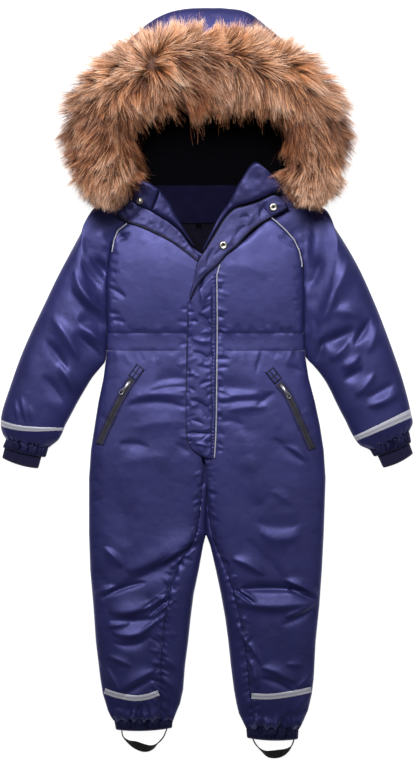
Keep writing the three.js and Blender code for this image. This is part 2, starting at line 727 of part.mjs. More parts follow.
function buildFront() {
  for (const side of ["left", "right"]) {
    const zip = () => (side === "left" ? CENTRE_FRONT : CENTRE_FRONT + GAP);
    const top = lookup(CHEST_TOP, "out", side);
    const columns = across(placesTo[side], 10);
    const outToZip = fromTo(side, outerEdge[side], zip);
    const chest = planGrid({
      ...outToZip,
      top: (u) => top(side === "left" ? 1 - u : u),
      bottom: () => WAIST_TOP + GAP / 2,
      down: shares(chestRows),
      columns,
    });
    frontPanel(`chest_${side}`, chest, ["top", "bottom", "left", "right"]);
    const band = planGrid({
      ...outToZip,
      top: () => WAIST_TOP - GAP / 2,
      bottom: () => WAIST_BOTTOM + GAP / 2,
      down: evenly(3),
      columns,
    });
    frontPanel(`front_waistband_${side}`, band, ["top", "bottom"]);
    const leg = planGrid({
      ...fromTo(side, outerEdge[side], frontInner[side]),
      top: () => hemRow(side, 0),
      bottom: () => hemRow(side, LEG_ROWS),
      down: evenly(LEG_ROWS),
      columns: across(placesTo[side], 9),
    });
    frontPanel(`front_leg_${side}`, leg, ["top", OTHER[side]]);
    const seam = (y) => frontInner[side](y) + INWARD[side] * GAP;
    const inside = (y) => innerEdge(side, y) - (INWARD[side] * GAP) / 2;
    const inner = planGrid({
      ...fromTo(side, seam, inside),
      top: () => hemRow(side, GUSSET_ROW[side]),
      bottom: () => hemRow(side, LEG_ROWS),
      down: evenly(LEG_ROWS - GUSSET_ROW[side]),
      columns: across(placesTo[OTHER[side]], 4),
    });
    frontPanel(`inner_leg_${side}`, inner, ["top", side]);
  }
}

function buildBack() {
  const columns = across("both", 8);
  const upper = planGrid({
    ...outerEdge,
    top: () => NECK_Y,
    bottom: () => WAIST_TOP + GAP / 2,
    down: shares([NECK_Y, ...chestRows]),
    columns,
  });
  backPanel("back_upper", upper, []);
  const band = planGrid({
    ...outerEdge,
    top: () => WAIST_TOP - GAP / 2,
    bottom: () => WAIST_BOTTOM + GAP / 2,
    down: evenly(1),
    columns,
  });
  backPanel("back_waistband", band, []);
  for (const side of ["left", "right"]) {
    const inside = (y) => innerEdge(side, y) - (INWARD[side] * GAP) / 2;
    const outToIn = fromTo(side, outerEdge[side], inside);
    const seat = planGrid({
      ...outToIn,
      top: () => WAIST_BOTTOM - GAP / 2,
      bottom: () => CROTCH_Y + GAP / 2,
      down: evenly(12),
      columns: across(placesTo[side], 5),
    });
    backPanel(`back_seat_${side}`, seat, [side]);
    const leg = planGrid({
      ...outToIn,
      top: () => CROTCH_Y - GAP / 2,
      bottom: () => HEM_TOP[side],
      down: evenly(12),
      columns: across("both", 6),
    });
    backPanel(`back_leg_${side}`, leg, ["left", "right"]);
  }
}

// Places round a flattened tube, over the top from its outer edge to its inner one and back underneath
const aroundTube = (places) => [
  ...places.map((t) => ({ t, over: true })),
  ...places.map((t) => ({ t, over: false })).reverse(),
];

// One ring of a flattened tube, whose inner rings lie at the slit, narrowed at both edges
function tubeRing(row, around, { narrow = null, slit = SLIT, ripple = () => 0, bow = () => 0 } = {}) {
  return around.map(({ t, over }, k) => {
    const place = narrow ? narrow(t) : t;
    const round = (1 - Math.abs(2 * t - 1) ** 2.6) ** 0.55;
    const edge = Math.min(row.height / 2, row.slitAt);
    let z = row.slitAt + (over ? slit : -slit) / 2;
    if (!narrow && over) z = mix(edge + EDGE, row.height, round) + ripple(t, k) * round;
    if (!narrow && !over) z = (edge - EDGE) * clamp(1 - 1.35 * Math.sqrt(1 - (2 * t - 1) ** 4));
    return [mix(row.ox, row.ix, place) + bow(place), mix(row.oy, row.iy, place), z];
  });
}

const armholePlaces = shares(ARMHOLE.map(({ y }) => y));
const SLEEVE_COLUMNS = ["ox", "oy", "ix", "iy", "height", "curve"];
const sleeveRow = (side, row) =>
  Object.fromEntries(SLEEVE_COLUMNS.map((column) => [column, byRow(SLEEVE[side], column)(row)]));

// How far the armhole's curve lies from the straight line between its ends
function armholeBow(side, t) {
  const ends = SLEEVE[side][0];
  return outerEdge[side](mix(ends.oy, ends.iy, t)) - mix(ends.ox, ends.ix, t);
}

function sleeveFold(row, t) {
  return SLEEVE_FOLDS.reduce((sum, fold) => {
    const along = (row - fold.row - (t - fold.across) * SLEEVE_FOLD_LEAN) / fold.rows;
    return sum + fold.rise * Math.exp(-(along ** 2) - ((t - fold.across) / fold.width) ** 2);
  }, 0);
}

function sleeveRing(side, row, around, isInner = false) {
  const shape = sleeveRow(side, row);
  const inset = SLEEVE_INSET / Math.hypot(shape.ix - shape.ox, shape.iy - shape.oy);
  return tubeRing({ ...shape, slitAt: Math.min(MID, shape.height / 2) }, around, {
    narrow: isInner && ((t) => Math.min(1 - inset, Math.max(inset, t))),
    ripple: (t) => sleeveFold(row, t),
    bow: (t) => shape.curve * armholeBow(side, t) - INWARD[side] * ARMHOLE_GAP,
  });
}

function buildSleeves() {
  const around = aroundTube(armholePlaces);
  for (const side of ["left", "right"]) {
    const rows = steps(SLEEVE_ROWS, (t) => t * (SLEEVE[side].length - 1));
    const outer = rows.map((row) => sleeveRing(side, row, around));
    const inner = rows.map((row) => sleeveRing(side, row, around, true));
    add(`sleeve_${side}`, tubeWall(outer, inner), NYLON);
  }
}

// An elastic band or a knitted cuff: a flattened tube with thick walls
function bandTube(from, to, gathers = 0) {
  const around = aroundTube(steps(gathers || 8, (t) => (1 - Math.cos(t * Math.PI)) / 2));
  const ripple = (t, k) => (gathers && k % 2 ? -GATHER_DEPTH : 0);
  const ring = (row, isInner) => {
    const share = (row.height - CUFF_SLIT) / Math.hypot(row.ix - row.ox, row.iy - row.oy);
    const narrow = isInner && ((t) => mix(t, 0.5, share));
    return tubeRing({ ...row, slitAt: row.height / 2 }, around, { narrow, slit: CUFF_SLIT, ripple });
  };
  return tubeWall([ring(from, false), ring(to, false)], [ring(from, true), ring(to, true)]);
}

function buildCuffsAndHems() {
  for (const side of ["left", "right"]) {
    const [bandIn, bandOut, ribIn, ribOut] = CUFFS[side];
    add(`cuff_elastic_${side}`, bandTube(bandIn, bandOut, GATHERS), NYLON);
    add(`cuff_rib_${side}`, bandTube(ribIn, ribOut), RIB);
    const [hemIn, hemOut] = HEMS[side];
    add(`hem_elastic_${side}`, bandTube(hemIn, hemOut, GATHERS), NYLON);
  }
}

// Foot straps: flat elastic that stands on its edge and turns over under the foot
function buildStraps() {
  for (const side of ["left", "right"]) {
    const table = STRAPS[side];
    const value = Object.fromEntries(["x", "y", "lean", "width"].map((c) => [c, byRow(table, c)]));
    const rings = steps(24, (t) => {
      const row = t * (table.length - 1);
      const [x, y] = [value.x(row), value.y(row)];
      const ahead = [value.x(row + 0.01) - x, value.y(row + 0.01) - y];
      const back = [x - value.x(row - 0.01), y - value.y(row - 0.01)];
      const dir = new THREE.Vector2(ahead[0] + back[0], ahead[1] + back[1]).normalize();
      const lean = THREE.MathUtils.degToRad(value.lean(row));
      const [half, thick] = [value.width(row) / 2, STRAP_THICK / 2];
      const rise = half * Math.cos(lean) + thick * Math.sin(lean) + 0.1;
      return [[1, 1], [1, -1], [-1, -1], [-1, 1]].map(([a, b]) => {
        const across = a * half * Math.sin(lean) + b * thick * Math.cos(lean);
        const up = a * half * Math.cos(lean) - b * thick * Math.sin(lean);
        return [x - dir.y * across, y + dir.x * across, rise + up];
      });
    });
    add(`foot_strap_${side}`, loft(rings), WEBBING);
  }
}

// A station on a table of plan points, with its direction
function station(table, t) {
  const [fx, fy] = [byRow(table, "x"), byRow(table, "y")];
  const row = t * (table.length - 1);
  const step = 0.02;
  const [r0, r1] = [Math.max(0, row - step), Math.min(table.length - 1, row + step)];
  const dir = new THREE.Vector2(fx(r1) - fx(r0), fy(r1) - fy(r0)).normalize();
  return { x: fx(row), y: fy(row), dir, row };
}

// The fur trim, with the uneven outline of its locks
function buildFur() {
  const half = byRow(FUR_LINE, "half");
  const rings = steps(FUR_STATIONS, (t, i) => {
    const s = station(FUR_LINE, t);
    const end = dome(Math.min(t, 1 - t) * 12 + 0.12);
    return Array.from({ length: FUR_SIDES }, (_, k) => {
      const angle = (2 * Math.PI * k) / FUR_SIDES;
      const lock = 1 + 0.035 * Math.sin(i * 1.9 + k * 2.3) + 0.03 * Math.sin(i * 0.83 - k * 1.7);
      const across = Math.cos(angle) * half(s.row) * lock * Math.sqrt(end);
      const up = Math.sin(angle) * FUR_HALF_HEIGHT * end * (Math.sin(angle) < 0 ? 1 : lock);
      const z = FUR_LOW + FUR_HALF_HEIGHT * end + up;
      return [s.x - s.dir.y * across, s.y + s.dir.x * across, z];
    });
  });
  add("fur_trim", loft(rings), FUR);
}

// Where the hood's wall stands: a place on its rim, and the way out to its edge
function hoodStation(t) {
  const [x, y, edgeX, edgeY] = ["rx", "ry", "ex", "ey"].map((c) => byRow(HOOD, c)(t * (HOOD.length - 1)));
  const out = new THREE.Vector2(edgeX - x, edgeY - y);
  const reach = out.length();
  return { rim: { x, y }, out: out.normalize(), reach };
}

// A stretch of the hood's wall between two shares of its thickness
function hoodStrip(name, first, last, from, to, material) {
  const outer = [];
  const inner = [];
  for (let i = first; i <= last; i++) {
    const seam = i === first && first ? HOOD_SEAM : i === last && last < HOOD_STATIONS ? -HOOD_SEAM : 0;
    const { rim, out, reach } = hoodStation(i / HOOD_STATIONS + seam);
    const place = (s, share) => {
      const away = reach * s.share - mix(s.short, s.inShort, share);
      return [rim.x + out.x * away, rim.y + out.y * away, mix(s.high, s.inHigh, share)];
    };
    outer.push(HOOD_SECTION.map((s) => place(s, from)));
    inner.push(HOOD_SECTION.map((s) => place(s, to)));
  }
  return add(name, slab(outer, inner), material);
}

function buildHood() {
  for (const [part, [first, last]] of Object.entries(HOOD_SPLITS))
    hoodStrip(`hood_${part}`, first, last, 0, 0.74, NYLON);
  hoodStrip("hood_lining_wall", 0, HOOD_STATIONS, 0.9, 1.2, BLACK_LINING);
  const foot = steps(HOOD_STATIONS, (t) => hoodStation(t)).map(({ rim, out, reach }) => {
    const inside = reach - HOOD_FOOT - FLOOR_SEAM;
    return [rim.x + out.x * inside, rim.y + out.y * inside];
  });
  const back = [[NECK_HALF.left, NECK_Y + GAP], ...foot, [NECK_HALF.right, NECK_Y + GAP]];
  add("hood_back", plate(back, 0, HOOD_FLOOR), NYLON);
  const facing = HOOD_LINING_Y + GAP;
  const lining = foot.filter(([, y]) => y > facing).map(([x, y]) => [x * 0.96, mix(y, NECK_Y, 0.03)]);
  const [left, right] = [lining[0][0], lining[lining.length - 1][0]].map((x) => x * 0.93);
  const outline = [[left, facing], ...lining, [right, facing]];
  add("hood_lining_back", plate(outline, HOOD_FLOOR + GAP, STRIP), BLACK_LINING);
}

// A flat plate with an outline in plan
function plate(outline, low, thick) {
  const shape = new THREE.Shape(outline.map(([x, y]) => new THREE.Vector2(x, y)));
  return new THREE.ExtrudeGeometry(shape, { depth: thick, bevelEnabled: false }).translate(0, 0, low);
}

// A slab of cloth between two edge lines, with its height worked out at each place
function strip(name, table, height, { thick = STRIP, rows = 3, along = 14, material = NYLON } = {}) {
  const value = Object.fromEntries(["lx", "ly", "ux", "uy"].map((c) => [c, byRow(table, c)]));
  const grid = steps(along, (t) => {
    const row = t * (table.length - 1);
    return steps(rows, (v) => {
      const x = mix(value.lx(row), value.ux(row), v);
      const y = mix(value.ly(row), value.uy(row), v);
      return [x, y, height(x, y, t, v)];
    });
  });
  const raised = grid.map((r) => r.map(([x, y, z]) => [x, y, z + thick]));
  return add(name, slab(raised, grid), material);
}

const laidOn = (x, y) => frontTop(x, y) + LIFT;
const bandLow = (x, y, t) => laidOn(x, y) + BAND_RISE * t;
const flapLow = (x, y) => laidOn(x, y) + FLAP_RAISE;
const placketLow = (x, y, t, v) => laidOn(x, y) + PLACKET_RAISE * Math.min(1, 4 * v * (1 - v));
const riseAfter = (start, t) => Math.max(0, t - start) / (1 - start);
const chinLow = (x, y, t, v) => CHIN_LEFT_LOW.base + CHIN_LEFT_LOW.over * v + CHIN_LEFT_LOW.along * t;
const chinRightLow = (x, y, t, v) =>
  NECK_SEAT + CHIN_RIGHT_RISE.along * riseAfter(0.3, t) + CHIN_RIGHT_RISE.over * v * t;
const innerLow = (x, y, t) => NECK_SEAT + INNER_RISE * riseAfter(0.6, t);

function buildNeck() {
  strip("collar_band", COLLAR_BAND, bandLow, { thick: COLLAR_THICK, along: 12 });
  strip("collar_inner", COLLAR_INNER, innerLow, { thick: CHIN_THICK, along: 10 });
  strip("chin_left", CHIN_LEFT, chinLow, { thick: CHIN_THICK, along: 6 });
  strip("chin_right", CHIN_RIGHT, chinRightLow, { thick: CHIN_THICK, along: 14 });
  strip("flap_turned", FLAP_TURNED, flapLow, { thick: FLAP_THICK, along: 18 });
  strip("placket", PLACKET, placketLow, { thick: FLAP_THICK, along: 22, rows: 4 });
  strip("neck_facing", FACING, () => MID + GAP, { along: 4 });
  const liningLow = () => MID - SLIT / 2 + GAP;
  strip("back_lining", BACK_LINING, liningLow, { along: 9, thick: LINING_THICK, material: LINING });
  const { x, y, half, down, raise, thick } = LABEL;
  const label = [-half, half].map((side) => ({ lx: x + side, ly: y - down, ux: x + side, uy: y }));
  strip("neck_label", label, () => MID + raise, { along: 1, rows: 1, thick, material: BLACK_LINING });
}

// A round cord through points that a function gives
function cordAlong(name, point, count, material) {
  const rings = steps(count, (t) => {
    const [p, q] = [point(Math.max(0, t - 0.01)), point(Math.min(1, t + 0.01))];
    const ahead = new THREE.Vector3(...q).sub(new THREE.Vector3(...p)).normalize();
    const side = new THREE.Vector3(0, 0, 1).cross(ahead).normalize();
    const up = ahead.clone().cross(side);
    const centre = new THREE.Vector3(...point(t));
    return Array.from({ length: 6 }, (_, k) => {
      const a = (k * Math.PI) / 3;
      return centre
        .clone()
        .addScaledVector(side, PIPING_RADIUS * Math.cos(a))
        .addScaledVector(up, PIPING_RADIUS * Math.sin(a))
        .toArray();
    });
  });
  add(name, loft(rings), material);
}

// A flat strip of one width along a line of plan points
function ribbon(name, table, half, thick, raise, material, along = 10) {
  const edges = steps(along, (t) => {
    const s = station(table, t);
    return {
      lx: s.x + s.dir.y * half,
      ly: s.y - s.dir.x * half,
      ux: s.x - s.dir.y * half,
      uy: s.y + s.dir.x * half,
    };
  });
  strip(name, edges, (x, y) => laidOn(x, y) + raise, { thick, rows: 2, along, material });
}

function buildTrim() {
  for (const side of ["left", "right"]) {
    const [from, to] = RAGLAN_PIPING[side];
    const onSeam = (t) => {
      const y = mix(from, to, t);
      const x = outerEdge[side](y) + INWARD[side] * PIPING_INSET;
      return [x, y, laidOn(x, y) + PIPING_RADIUS];
    };
    cordAlong(`piping_raglan_${side}`, onSeam, 12, REFLECTIVE);
    ribbon(`leg_tape_${side}`, LEG_TAPE[side], TAPE_HALF, TAPE_THICK, 0, REFLECTIVE, 14);
    sleeveTape(side);
  }
  const placketRight = { x: byRow(PLACKET, "ux"), y: byRow(PLACKET, "uy") };
  const { top, rows, turn } = PLACKET_PIPING;
  const besidePlacket = (t) => {
    const row = mix(...rows, clamp((t - turn) / (1 - turn)));
    const beside = placketRight.x(row) + PIPING_RADIUS + 2 * GAP;
    const onTop = clamp(1 - t / turn);
    const [x, y] = [mix(beside, top.x, onTop), mix(placketRight.y(row), top.y, onTop)];
    return [x, y, laidOn(x, y) + PIPING_RADIUS];
  };
  cordAlong("piping_placket", besidePlacket, 30, REFLECTIVE);
}

// The reflective tape round a sleeve, from the points of its own rings, moved out
function sleeveTape(side) {
  const overTop = armholePlaces.map((t) => ({ t, over: true }));
  const rows = [-TAPE_ROWS, 0, TAPE_ROWS].map((away) => SLEEVE_TAPE_ROW + away);
  const lift = (ring, by) => ring.map(([x, y, z]) => [x, y, z + by]);
  const low = rows.map((row) => lift(sleeveRing(side, row, overTop), LIFT));
  const high = low.map((ring) => lift(ring, TAPE_THICK));
  add(`sleeve_tape_${side}`, slab(high, low), REFLECTIVE);
}

function buildPockets() {
  for (const side of ["left", "right"]) {
    ribbon(`pocket_zip_${side}`, POCKET_ZIP[side], ZIP_HALF, STRIP, 0, ZIP_TAPE, 12);
    ribbon(`zip_garage_${side}`, GARAGE[side], GARAGE_HALF, STRIP, 0, NYLON, 3);
    addPull(side);
  }
}

// A zip pull: a rounded plate with a hole, hanging down over the closed zip
function addPull(side) {
  const shape = new THREE.Shape();
  shape.absarc(0, 0, PULL_HALF * 0.7, Math.PI / 2, -Math.PI / 2, false);
  shape.lineTo(0, -PULL_HALF * 0.7);
  shape.absarc(PULL_LENGTH - 2 * PULL_HALF, 0, PULL_HALF, -Math.PI / 2, Math.PI / 2, false);
  shape.lineTo(0, PULL_HALF * 0.7);
  const hole = new THREE.Path();
  hole.absarc(PULL_LENGTH - 2 * PULL_HALF, 0, PULL_HALF * 0.5, 0, 2 * Math.PI, true);
  shape.holes.push(hole);
  const form = { depth: PULL_THICK, bevelEnabled: false, curveSegments: 6 };
  const plate = new THREE.ExtrudeGeometry(shape, form);
  const { x, y, turn } = PULL[side];
  const angle = THREE.MathUtils.degToRad(turn);
  const heights = [0, 0.5, 1].map((t) => {
    const away = (PULL_LENGTH - 2 * PULL_HALF) * t;
    return frontTop(x + Math.cos(angle) * away, y + Math.sin(angle) * away);
  });
  const mesh = add(`zip_pull_${side}`, plate, METAL);
  mesh.position.set(x, y, Math.max(...heights) + LIFT + STRIP + PULL_CLEAR);
  mesh.rotation.z = angle;
}

// A press fastener, turned on a lathe and laid on its back
function addSnap(name, profile, { x, y }, z) {
  const points = profile.map(({ r, h }) => new THREE.Vector2(r, h));
  const lathe = new THREE.LatheGeometry(points, SNAP_SIDES);
  const mesh = add(name, lathe, METAL);
  mesh.rotation.x = Math.PI / 2;
  mesh.position.set(x, y, z + SNAP_CLEAR);
}

function buildSnaps() {
  const { lower, upper, stud } = SNAPS;
  addSnap("snap_socket_lower", SOCKET, lower, flapLow(lower.x, lower.y) + FLAP_THICK);
  addSnap("snap_socket_upper", SOCKET, upper, flapLow(upper.x, upper.y) + FLAP_THICK);
  addSnap("snap_stud", STUD, stud, chinLow(stud.x, stud.y, stud.along, stud.over) + CHIN_THICK);
}

buildFront();
buildBack();
buildSleeves();
buildCuffsAndHems();
buildStraps();
buildHood();
buildFur();
buildNeck();
buildTrim();
buildPockets();
buildSnaps();

export default suit;
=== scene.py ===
# Looks of a padded toddler snowsuit with a fur-trimmed hood, laid flat on its back.
# Sizes are in millimetres until a mesh is made. +X is the viewer's right, +Y towards the hood, +Z up.
import math

import bmesh
import bpy
import numpy as np
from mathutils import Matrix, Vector


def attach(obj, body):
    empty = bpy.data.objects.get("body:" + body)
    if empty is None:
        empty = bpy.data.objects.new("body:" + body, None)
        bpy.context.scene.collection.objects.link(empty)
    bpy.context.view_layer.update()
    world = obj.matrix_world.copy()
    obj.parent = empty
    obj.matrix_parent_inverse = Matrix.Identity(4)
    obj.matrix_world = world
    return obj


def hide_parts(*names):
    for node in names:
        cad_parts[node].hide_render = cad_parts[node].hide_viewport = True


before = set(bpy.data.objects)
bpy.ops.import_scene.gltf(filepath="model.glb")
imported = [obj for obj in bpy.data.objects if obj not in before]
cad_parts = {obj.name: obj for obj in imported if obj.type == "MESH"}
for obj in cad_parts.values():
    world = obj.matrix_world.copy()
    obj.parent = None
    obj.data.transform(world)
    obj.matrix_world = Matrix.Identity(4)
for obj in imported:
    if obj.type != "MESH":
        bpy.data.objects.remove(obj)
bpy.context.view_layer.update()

MM = 0.001
TAU = 2 * math.pi
GAP = 0.3  # between pieces that are sewn or rest together
ARMHOLE_GAP = 0.5
SLIT = 1.0  # between the front wall and the back wall
EDGE = 1.5
LIFT = 0.5
STRIP = 1.4
MID = 14.0  # height of the slit between the padded walls
FRONT_LOW = MID + SLIT / 2
SEAM_DIP = 2.4
TURN_UP = 10.0
CENTRE_FRONT = -9.0
CENTRE_SEAM = -1.6
BACK_SEAM = -9.0  # how far the back's centre seam lies beside the front's
NECK_Y = 281.0
HOOD_LINING_Y = 315.0
WAIST_TOP = 78.0
WAIST_BOTTOM = 50.0
CROTCH_Y = -246.0
HEM_TOP = {"left": -541.0, "right": -554.0}
GUSSET_TOP = {"left": -163.0, "right": -201.0}
SIDE_ROUND = 58.0
INSEAM_ROUND = 40.0
PITCH = 2.1  # between points of a panel that shows
BACK_PITCH = 6.0
NARROWEST = 0.01  # metres, the cut width of the reflective tape
SIDES = ("left", "right")
OTHER = {"left": "right", "right": "left"}
INWARD = {"left": 1, "right": -1}


def table(columns, *rows):
    """A table as a dictionary from a column's name to its values."""
    return {name: np.array([row[k] for row in rows], float) for k, name in enumerate(columns.split())}


# Outer edge of the body: raglan armhole, side seam and outer leg
OUTER = table(
    "y left right",
    (283, -98, 84), (266, -112, 101), (256, -127, 114), (242, -145, 129), (227, -151, 142),
    (210, -154, 150), (192, -157, 154), (163, -160, 155), (120, -160, 155), (78, -160, 155),
    (50, -160.5, 156.3), (40, -161.3, 157.5), (6, -166, 163), (-32, -174, 173), (-70, -180, 181),
    (-109, -186, 187), (-154, -189, 190), (-243, -189, 187), (-301, -187, 184), (-358, -182, 180),
    (-416, -178, 174), (-474, -171, 171), (-499, -167, 168), (-525, -159, 162), (-541, -150, 155),
    (-554, -141, 147),
)
# Inseam edge of each leg, below the crotch
INSEAM = table(
    "y left right",
    (-246, -2, -1), (-262, -6, 5), (-301, -13, 14), (-339, -21, 22), (-378, -26, 29), (-416, -30, 34),
    (-454, -35, 38), (-493, -38, 43), (-515, -43, 47), (-531, -50, 51), (-541, -55, 56), (-554, -62, 64),
)
# Inner edge of each front leg panel: zip line, centre seam, then the seam to the inner leg panel
FRONT_INNER = table(
    "y left right",
    (50, -9, -8.7), (-95, -9, -8.7), (-118, -9, -5), (-134, -6.5, -1.5), (-150, -7, -1), (-185, -9, 1),
    (-215, -12, 3), (-248, -18, 9), (-264, -27, 15), (-288, -42, 26), (-325, -58, 39), (-365, -65, 50),
    (-413, -70, 60), (-493, -74, 68), (-554, -74, 76),
)
CHEST_TOP = table(
    "out left right",
    (1, 266, 266), (0.85, 257, 259), (0.65, 248, 244), (0.45, 237, 226), (0.23, 221, 209), (0, 201, 196),
)
PROFILE = table(
    "y height edge",
    (283, 24, 6), (245, 26, 8), (190, 30, 8), (131, 30, 8), (90, 28, 7), (66, 26, 5), (40, 28, 3),
    (6, 30, 2), (-70, 31, 2), (-154, 32, 2), (-243, 33, 2), (-339, 34, 2), (-430, 33, 2), (-500, 31, 2),
    (-535, 26, 2), (-556, 21, 2),
)
SLEEVE = {
    "left": table(
        "ox oy ix iy height curve",
        (-112, 266, -161, 40, 22, 1), (-173, 283, -163, 32, 30, 0.7), (-197, 246, -171, 22, 34, 0.35),
        (-219, 206, -184, 6, 35, 0.1), (-240, 166, -195, -12, 35, 0), (-261, 122, -206, -31, 35, 0),
        (-280, 82, -214, -46, 34, 0), (-298, 40, -221, -59, 34, 0), (-314, -5, -226, -68, 33, 0),
        (-327, -45, -229, -75, 32, 0), (-330, -67, -232, -83, 31, 0), (-327, -82, -239, -94, 26, 0),
        (-322, -90, -252, -103, 20, 0),
    ),
    "right": table(
        "ox oy ix iy height curve",
        (101, 266, 157, 40, 22, 1), (181, 280, 162, 34, 30, 0.7), (205, 246, 170, 26, 34, 0.35),
        (227, 211, 181, 13, 35, 0.1), (246, 176, 190, 0, 35, 0), (264, 136, 198, -15, 35, 0),
        (278, 102, 206, -32, 34, 0), (294, 59, 214, -48, 34, 0), (309, 16, 222, -63, 33, 0),
        (320, -22, 229, -78, 32, 0), (327, -53, 237, -92, 31, 0), (329, -66, 246, -102, 26, 0),
        (324, -77, 260, -107, 20, 0),
    ),
}
# Elastic band and knitted cuff: where each starts and ends, on its outer and inner side
CUFFS = {
    "left": table(
        "ox oy ix iy height",
        (-322, -91, -254, -104, 17), (-328, -105, -259, -121, 16),
        (-325, -106.5, -266, -120.5, 12), (-329, -122, -271, -139, 12),
    ),
    "right": table(
        "ox oy ix iy height",
        (324, -78, 261, -108, 17), (328, -97, 268, -120, 16),
        (325, -99, 274, -118.5, 12), (331, -115, 283, -138, 12),
    ),
}
HEMS = {
    "left": table("ox oy ix iy height", (-149, -541.5, -55, -541.5, 19), (-146, -558, -56, -555, 18)),
    "right": table("ox oy ix iy height", (147, -554.5, 63, -554.5, 19), (146, -573, 64, -571, 18)),
}
# Foot straps: path on the surface, how far the strap lies over, and its width
STRAPS = {
    "left": table(
        "x y lean width",
        (-137, -558.2, 0, 9), (-135, -569, 5, 9), (-127, -577, 30, 10), (-115, -583, 70, 13),
        (-101, -588, 70, 14), (-89, -587, 45, 11), (-79, -580, 5, 9), (-70, -570, 0, 9),
        (-64, -555.8, 0, 9),
    ),
    "right": table(
        "x y lean width",
        (73, -571.7, 0, 9), (79, -583, 0, 9), (90, -593, 25, 10), (102, -598, 70, 13), (116, -597, 70, 14),
        (128, -592, 45, 11), (136, -584, 5, 9), (140, -573.4, 0, 9),
    ),
}
# The hood's wall, from its edge in plan in to its rim under the fur
HOOD = table(
    "ex ey rx ry",
    (-150, 288, -124, 288), (-184, 331, -150, 335), (-197, 387, -168, 386), (-187, 451, -158, 437),
    (-155, 509, -128, 474), (-112, 558, -88, 494), (-62, 590, -44, 501), (0, 598, 0, 500),
    (58, 592, 44, 499), (106, 560, 90, 489), (154, 509, 128, 466), (185, 449, 158, 431),
    (195, 387, 170, 384), (186, 331, 152, 335), (154, 288, 128, 288),
)
HOOD_SECTION = table(
    "share short high in_short in_high",
    (1, 14, 0, 14, 10), (1, 4, 3, 9, 12), (1, 0, 12, 6, 15), (1, 1.5, 23, 8, 19), (0.68, 0, 33, 3, 26),
    (0.34, 0, 38, 1.5, 31.5), (0, 0, 39.5, 0, 33.5),
)
HOOD_SPLITS = {"left": (0, 11 / 28), "top": (11 / 28, 17 / 28), "right": (17 / 28, 1)}
HOOD_FLOOR = 10.0
HOOD_FOOT = 14.6
# Where the hood's back reaches down beside the neck to the sleeves
HOOD_CORNERS = table(
    "left_x left_y right_x right_y",
    (-99, 281.3, 85, 281.3), (-113.5, 268, 102.5, 268), (-126, 276.5, 118, 275), (-140, 285, 140, 284),
)
# The line of the fur trim, with its half width
FUR_LINE = table(
    "x y half",
    (-163, 282, 26), (-157, 308, 50), (-156, 338, 62), (-168, 386, 62), (-160, 433, 63), (-128, 474, 65),
    (-84, 496, 70), (-42, 501, 74), (0, 500, 75), (42, 499, 74), (86, 491, 70), (128, 466, 65),
    (160, 428, 64), (171, 384, 61), (168, 338, 54), (163, 308, 48), (160, 282, 34),
)
# Collar and front edges, as pairs of edge lines from the centre front outwards
COLLAR_BAND = table(
    "lx ly ux uy",
    (-15, 193, -12, 200), (-37, 210, -26, 217), (-59, 226, -43, 241), (-82, 238, -62, 256),
    (-104, 248, -80, 267), (-127, 256, -103.5, 280), (-145, 267, -122, 291),
)
COLLAR_INNER = table(
    "lx ly ux uy",
    (-22, 216.5, -20, 218.5), (-42, 242, -38, 247), (-61, 257, -50, 268), (-77, 266, -59, 285),
    (-89, 274, -76, 307),
)
CHIN_LEFT = table(
    "lx ly ux uy",
    (-89.5, 274.2, -76.5, 307.5), (-102, 279, -92, 318), (-112, 284, -106, 323), (-121, 289, -120, 324),
)
CHIN_RIGHT = table(
    "lx ly ux uy",
    (-5.5, 209, -7, 212), (8, 231, 4, 236), (27, 262, 20, 266), (44, 278.5, 34, 286), (62, 284, 42, 301),
    (82, 291, 54, 323), (108, 302, 77, 351), (128, 306, 104, 330),
)
FLAP_TURNED = table(
    "lx ly ux uy",
    (-27, 130, -28, 138), (-18, 150, -21, 164), (-2, 171, -15, 190), (17, 188, -5, 207),
    (31, 204, 9, 229), (47, 217, 28, 260), (66, 238, 44, 276), (82, 251, 61, 281), (102, 263, 82, 287.5),
    (123, 274, 106, 298), (130, 279, 122, 290),
)
PLACKET = table(
    "lx ly ux uy",
    (-31, 127, 14, 176), (-31, 96, 14.5, 120), (-32, 64, 14.5, 64), (-33, 14, 14, 14),
    (-33.5, -36, 13.5, -36), (-33, -80, 12.5, -80), (-29, -99, 11.5, -100), (-20, -111, 11, -108),
    (-3, -121, 10, -122),
)
FACING = table("lx ly ux uy", (-62, 254.3, -100, 315), (51, 254.3, 88, 315))
BACK_LINING = table(
    "lx ly ux uy",
    (-54, 240, -62, 254), (-12, 208, -24, 254), (2, 208, 14, 254), (42, 235, 51, 254),
)
LABEL = table("lx ly ux uy", (-18, 246.5, -18, 253), (-8.5, 246.5, -8.5, 253))
LEG_TAPE = {
    "left": table("x y", (-164, -494), (-144, -500), (-118, -504.5), (-96, -502.5), (-77, -496)),
    "right": table("x y", (71, -501), (101, -502), (133, -498), (167, -492)),
}
POCKET_ZIP = {
    "left": table("x y", (-120, 5), (-138, -26), (-155, -61), (-172, -98)),
    "right": table("x y", (115, -2), (130, -22), (150, -66), (168, -106)),
}
GARAGE = {
    "left": table("x y", (-119.5, 6), (-112.5, 15.5), (-105.5, 25)),
    "right": table("x y", (113.5, 1.5), (106.5, 10.5), (99.5, 19.5)),
}
RAGLAN_PIPING = {"left": (253, 208), "right": (262, 184)}
PULL = {"left": (-126, -3, 232), "right": (121, -9, 306)}

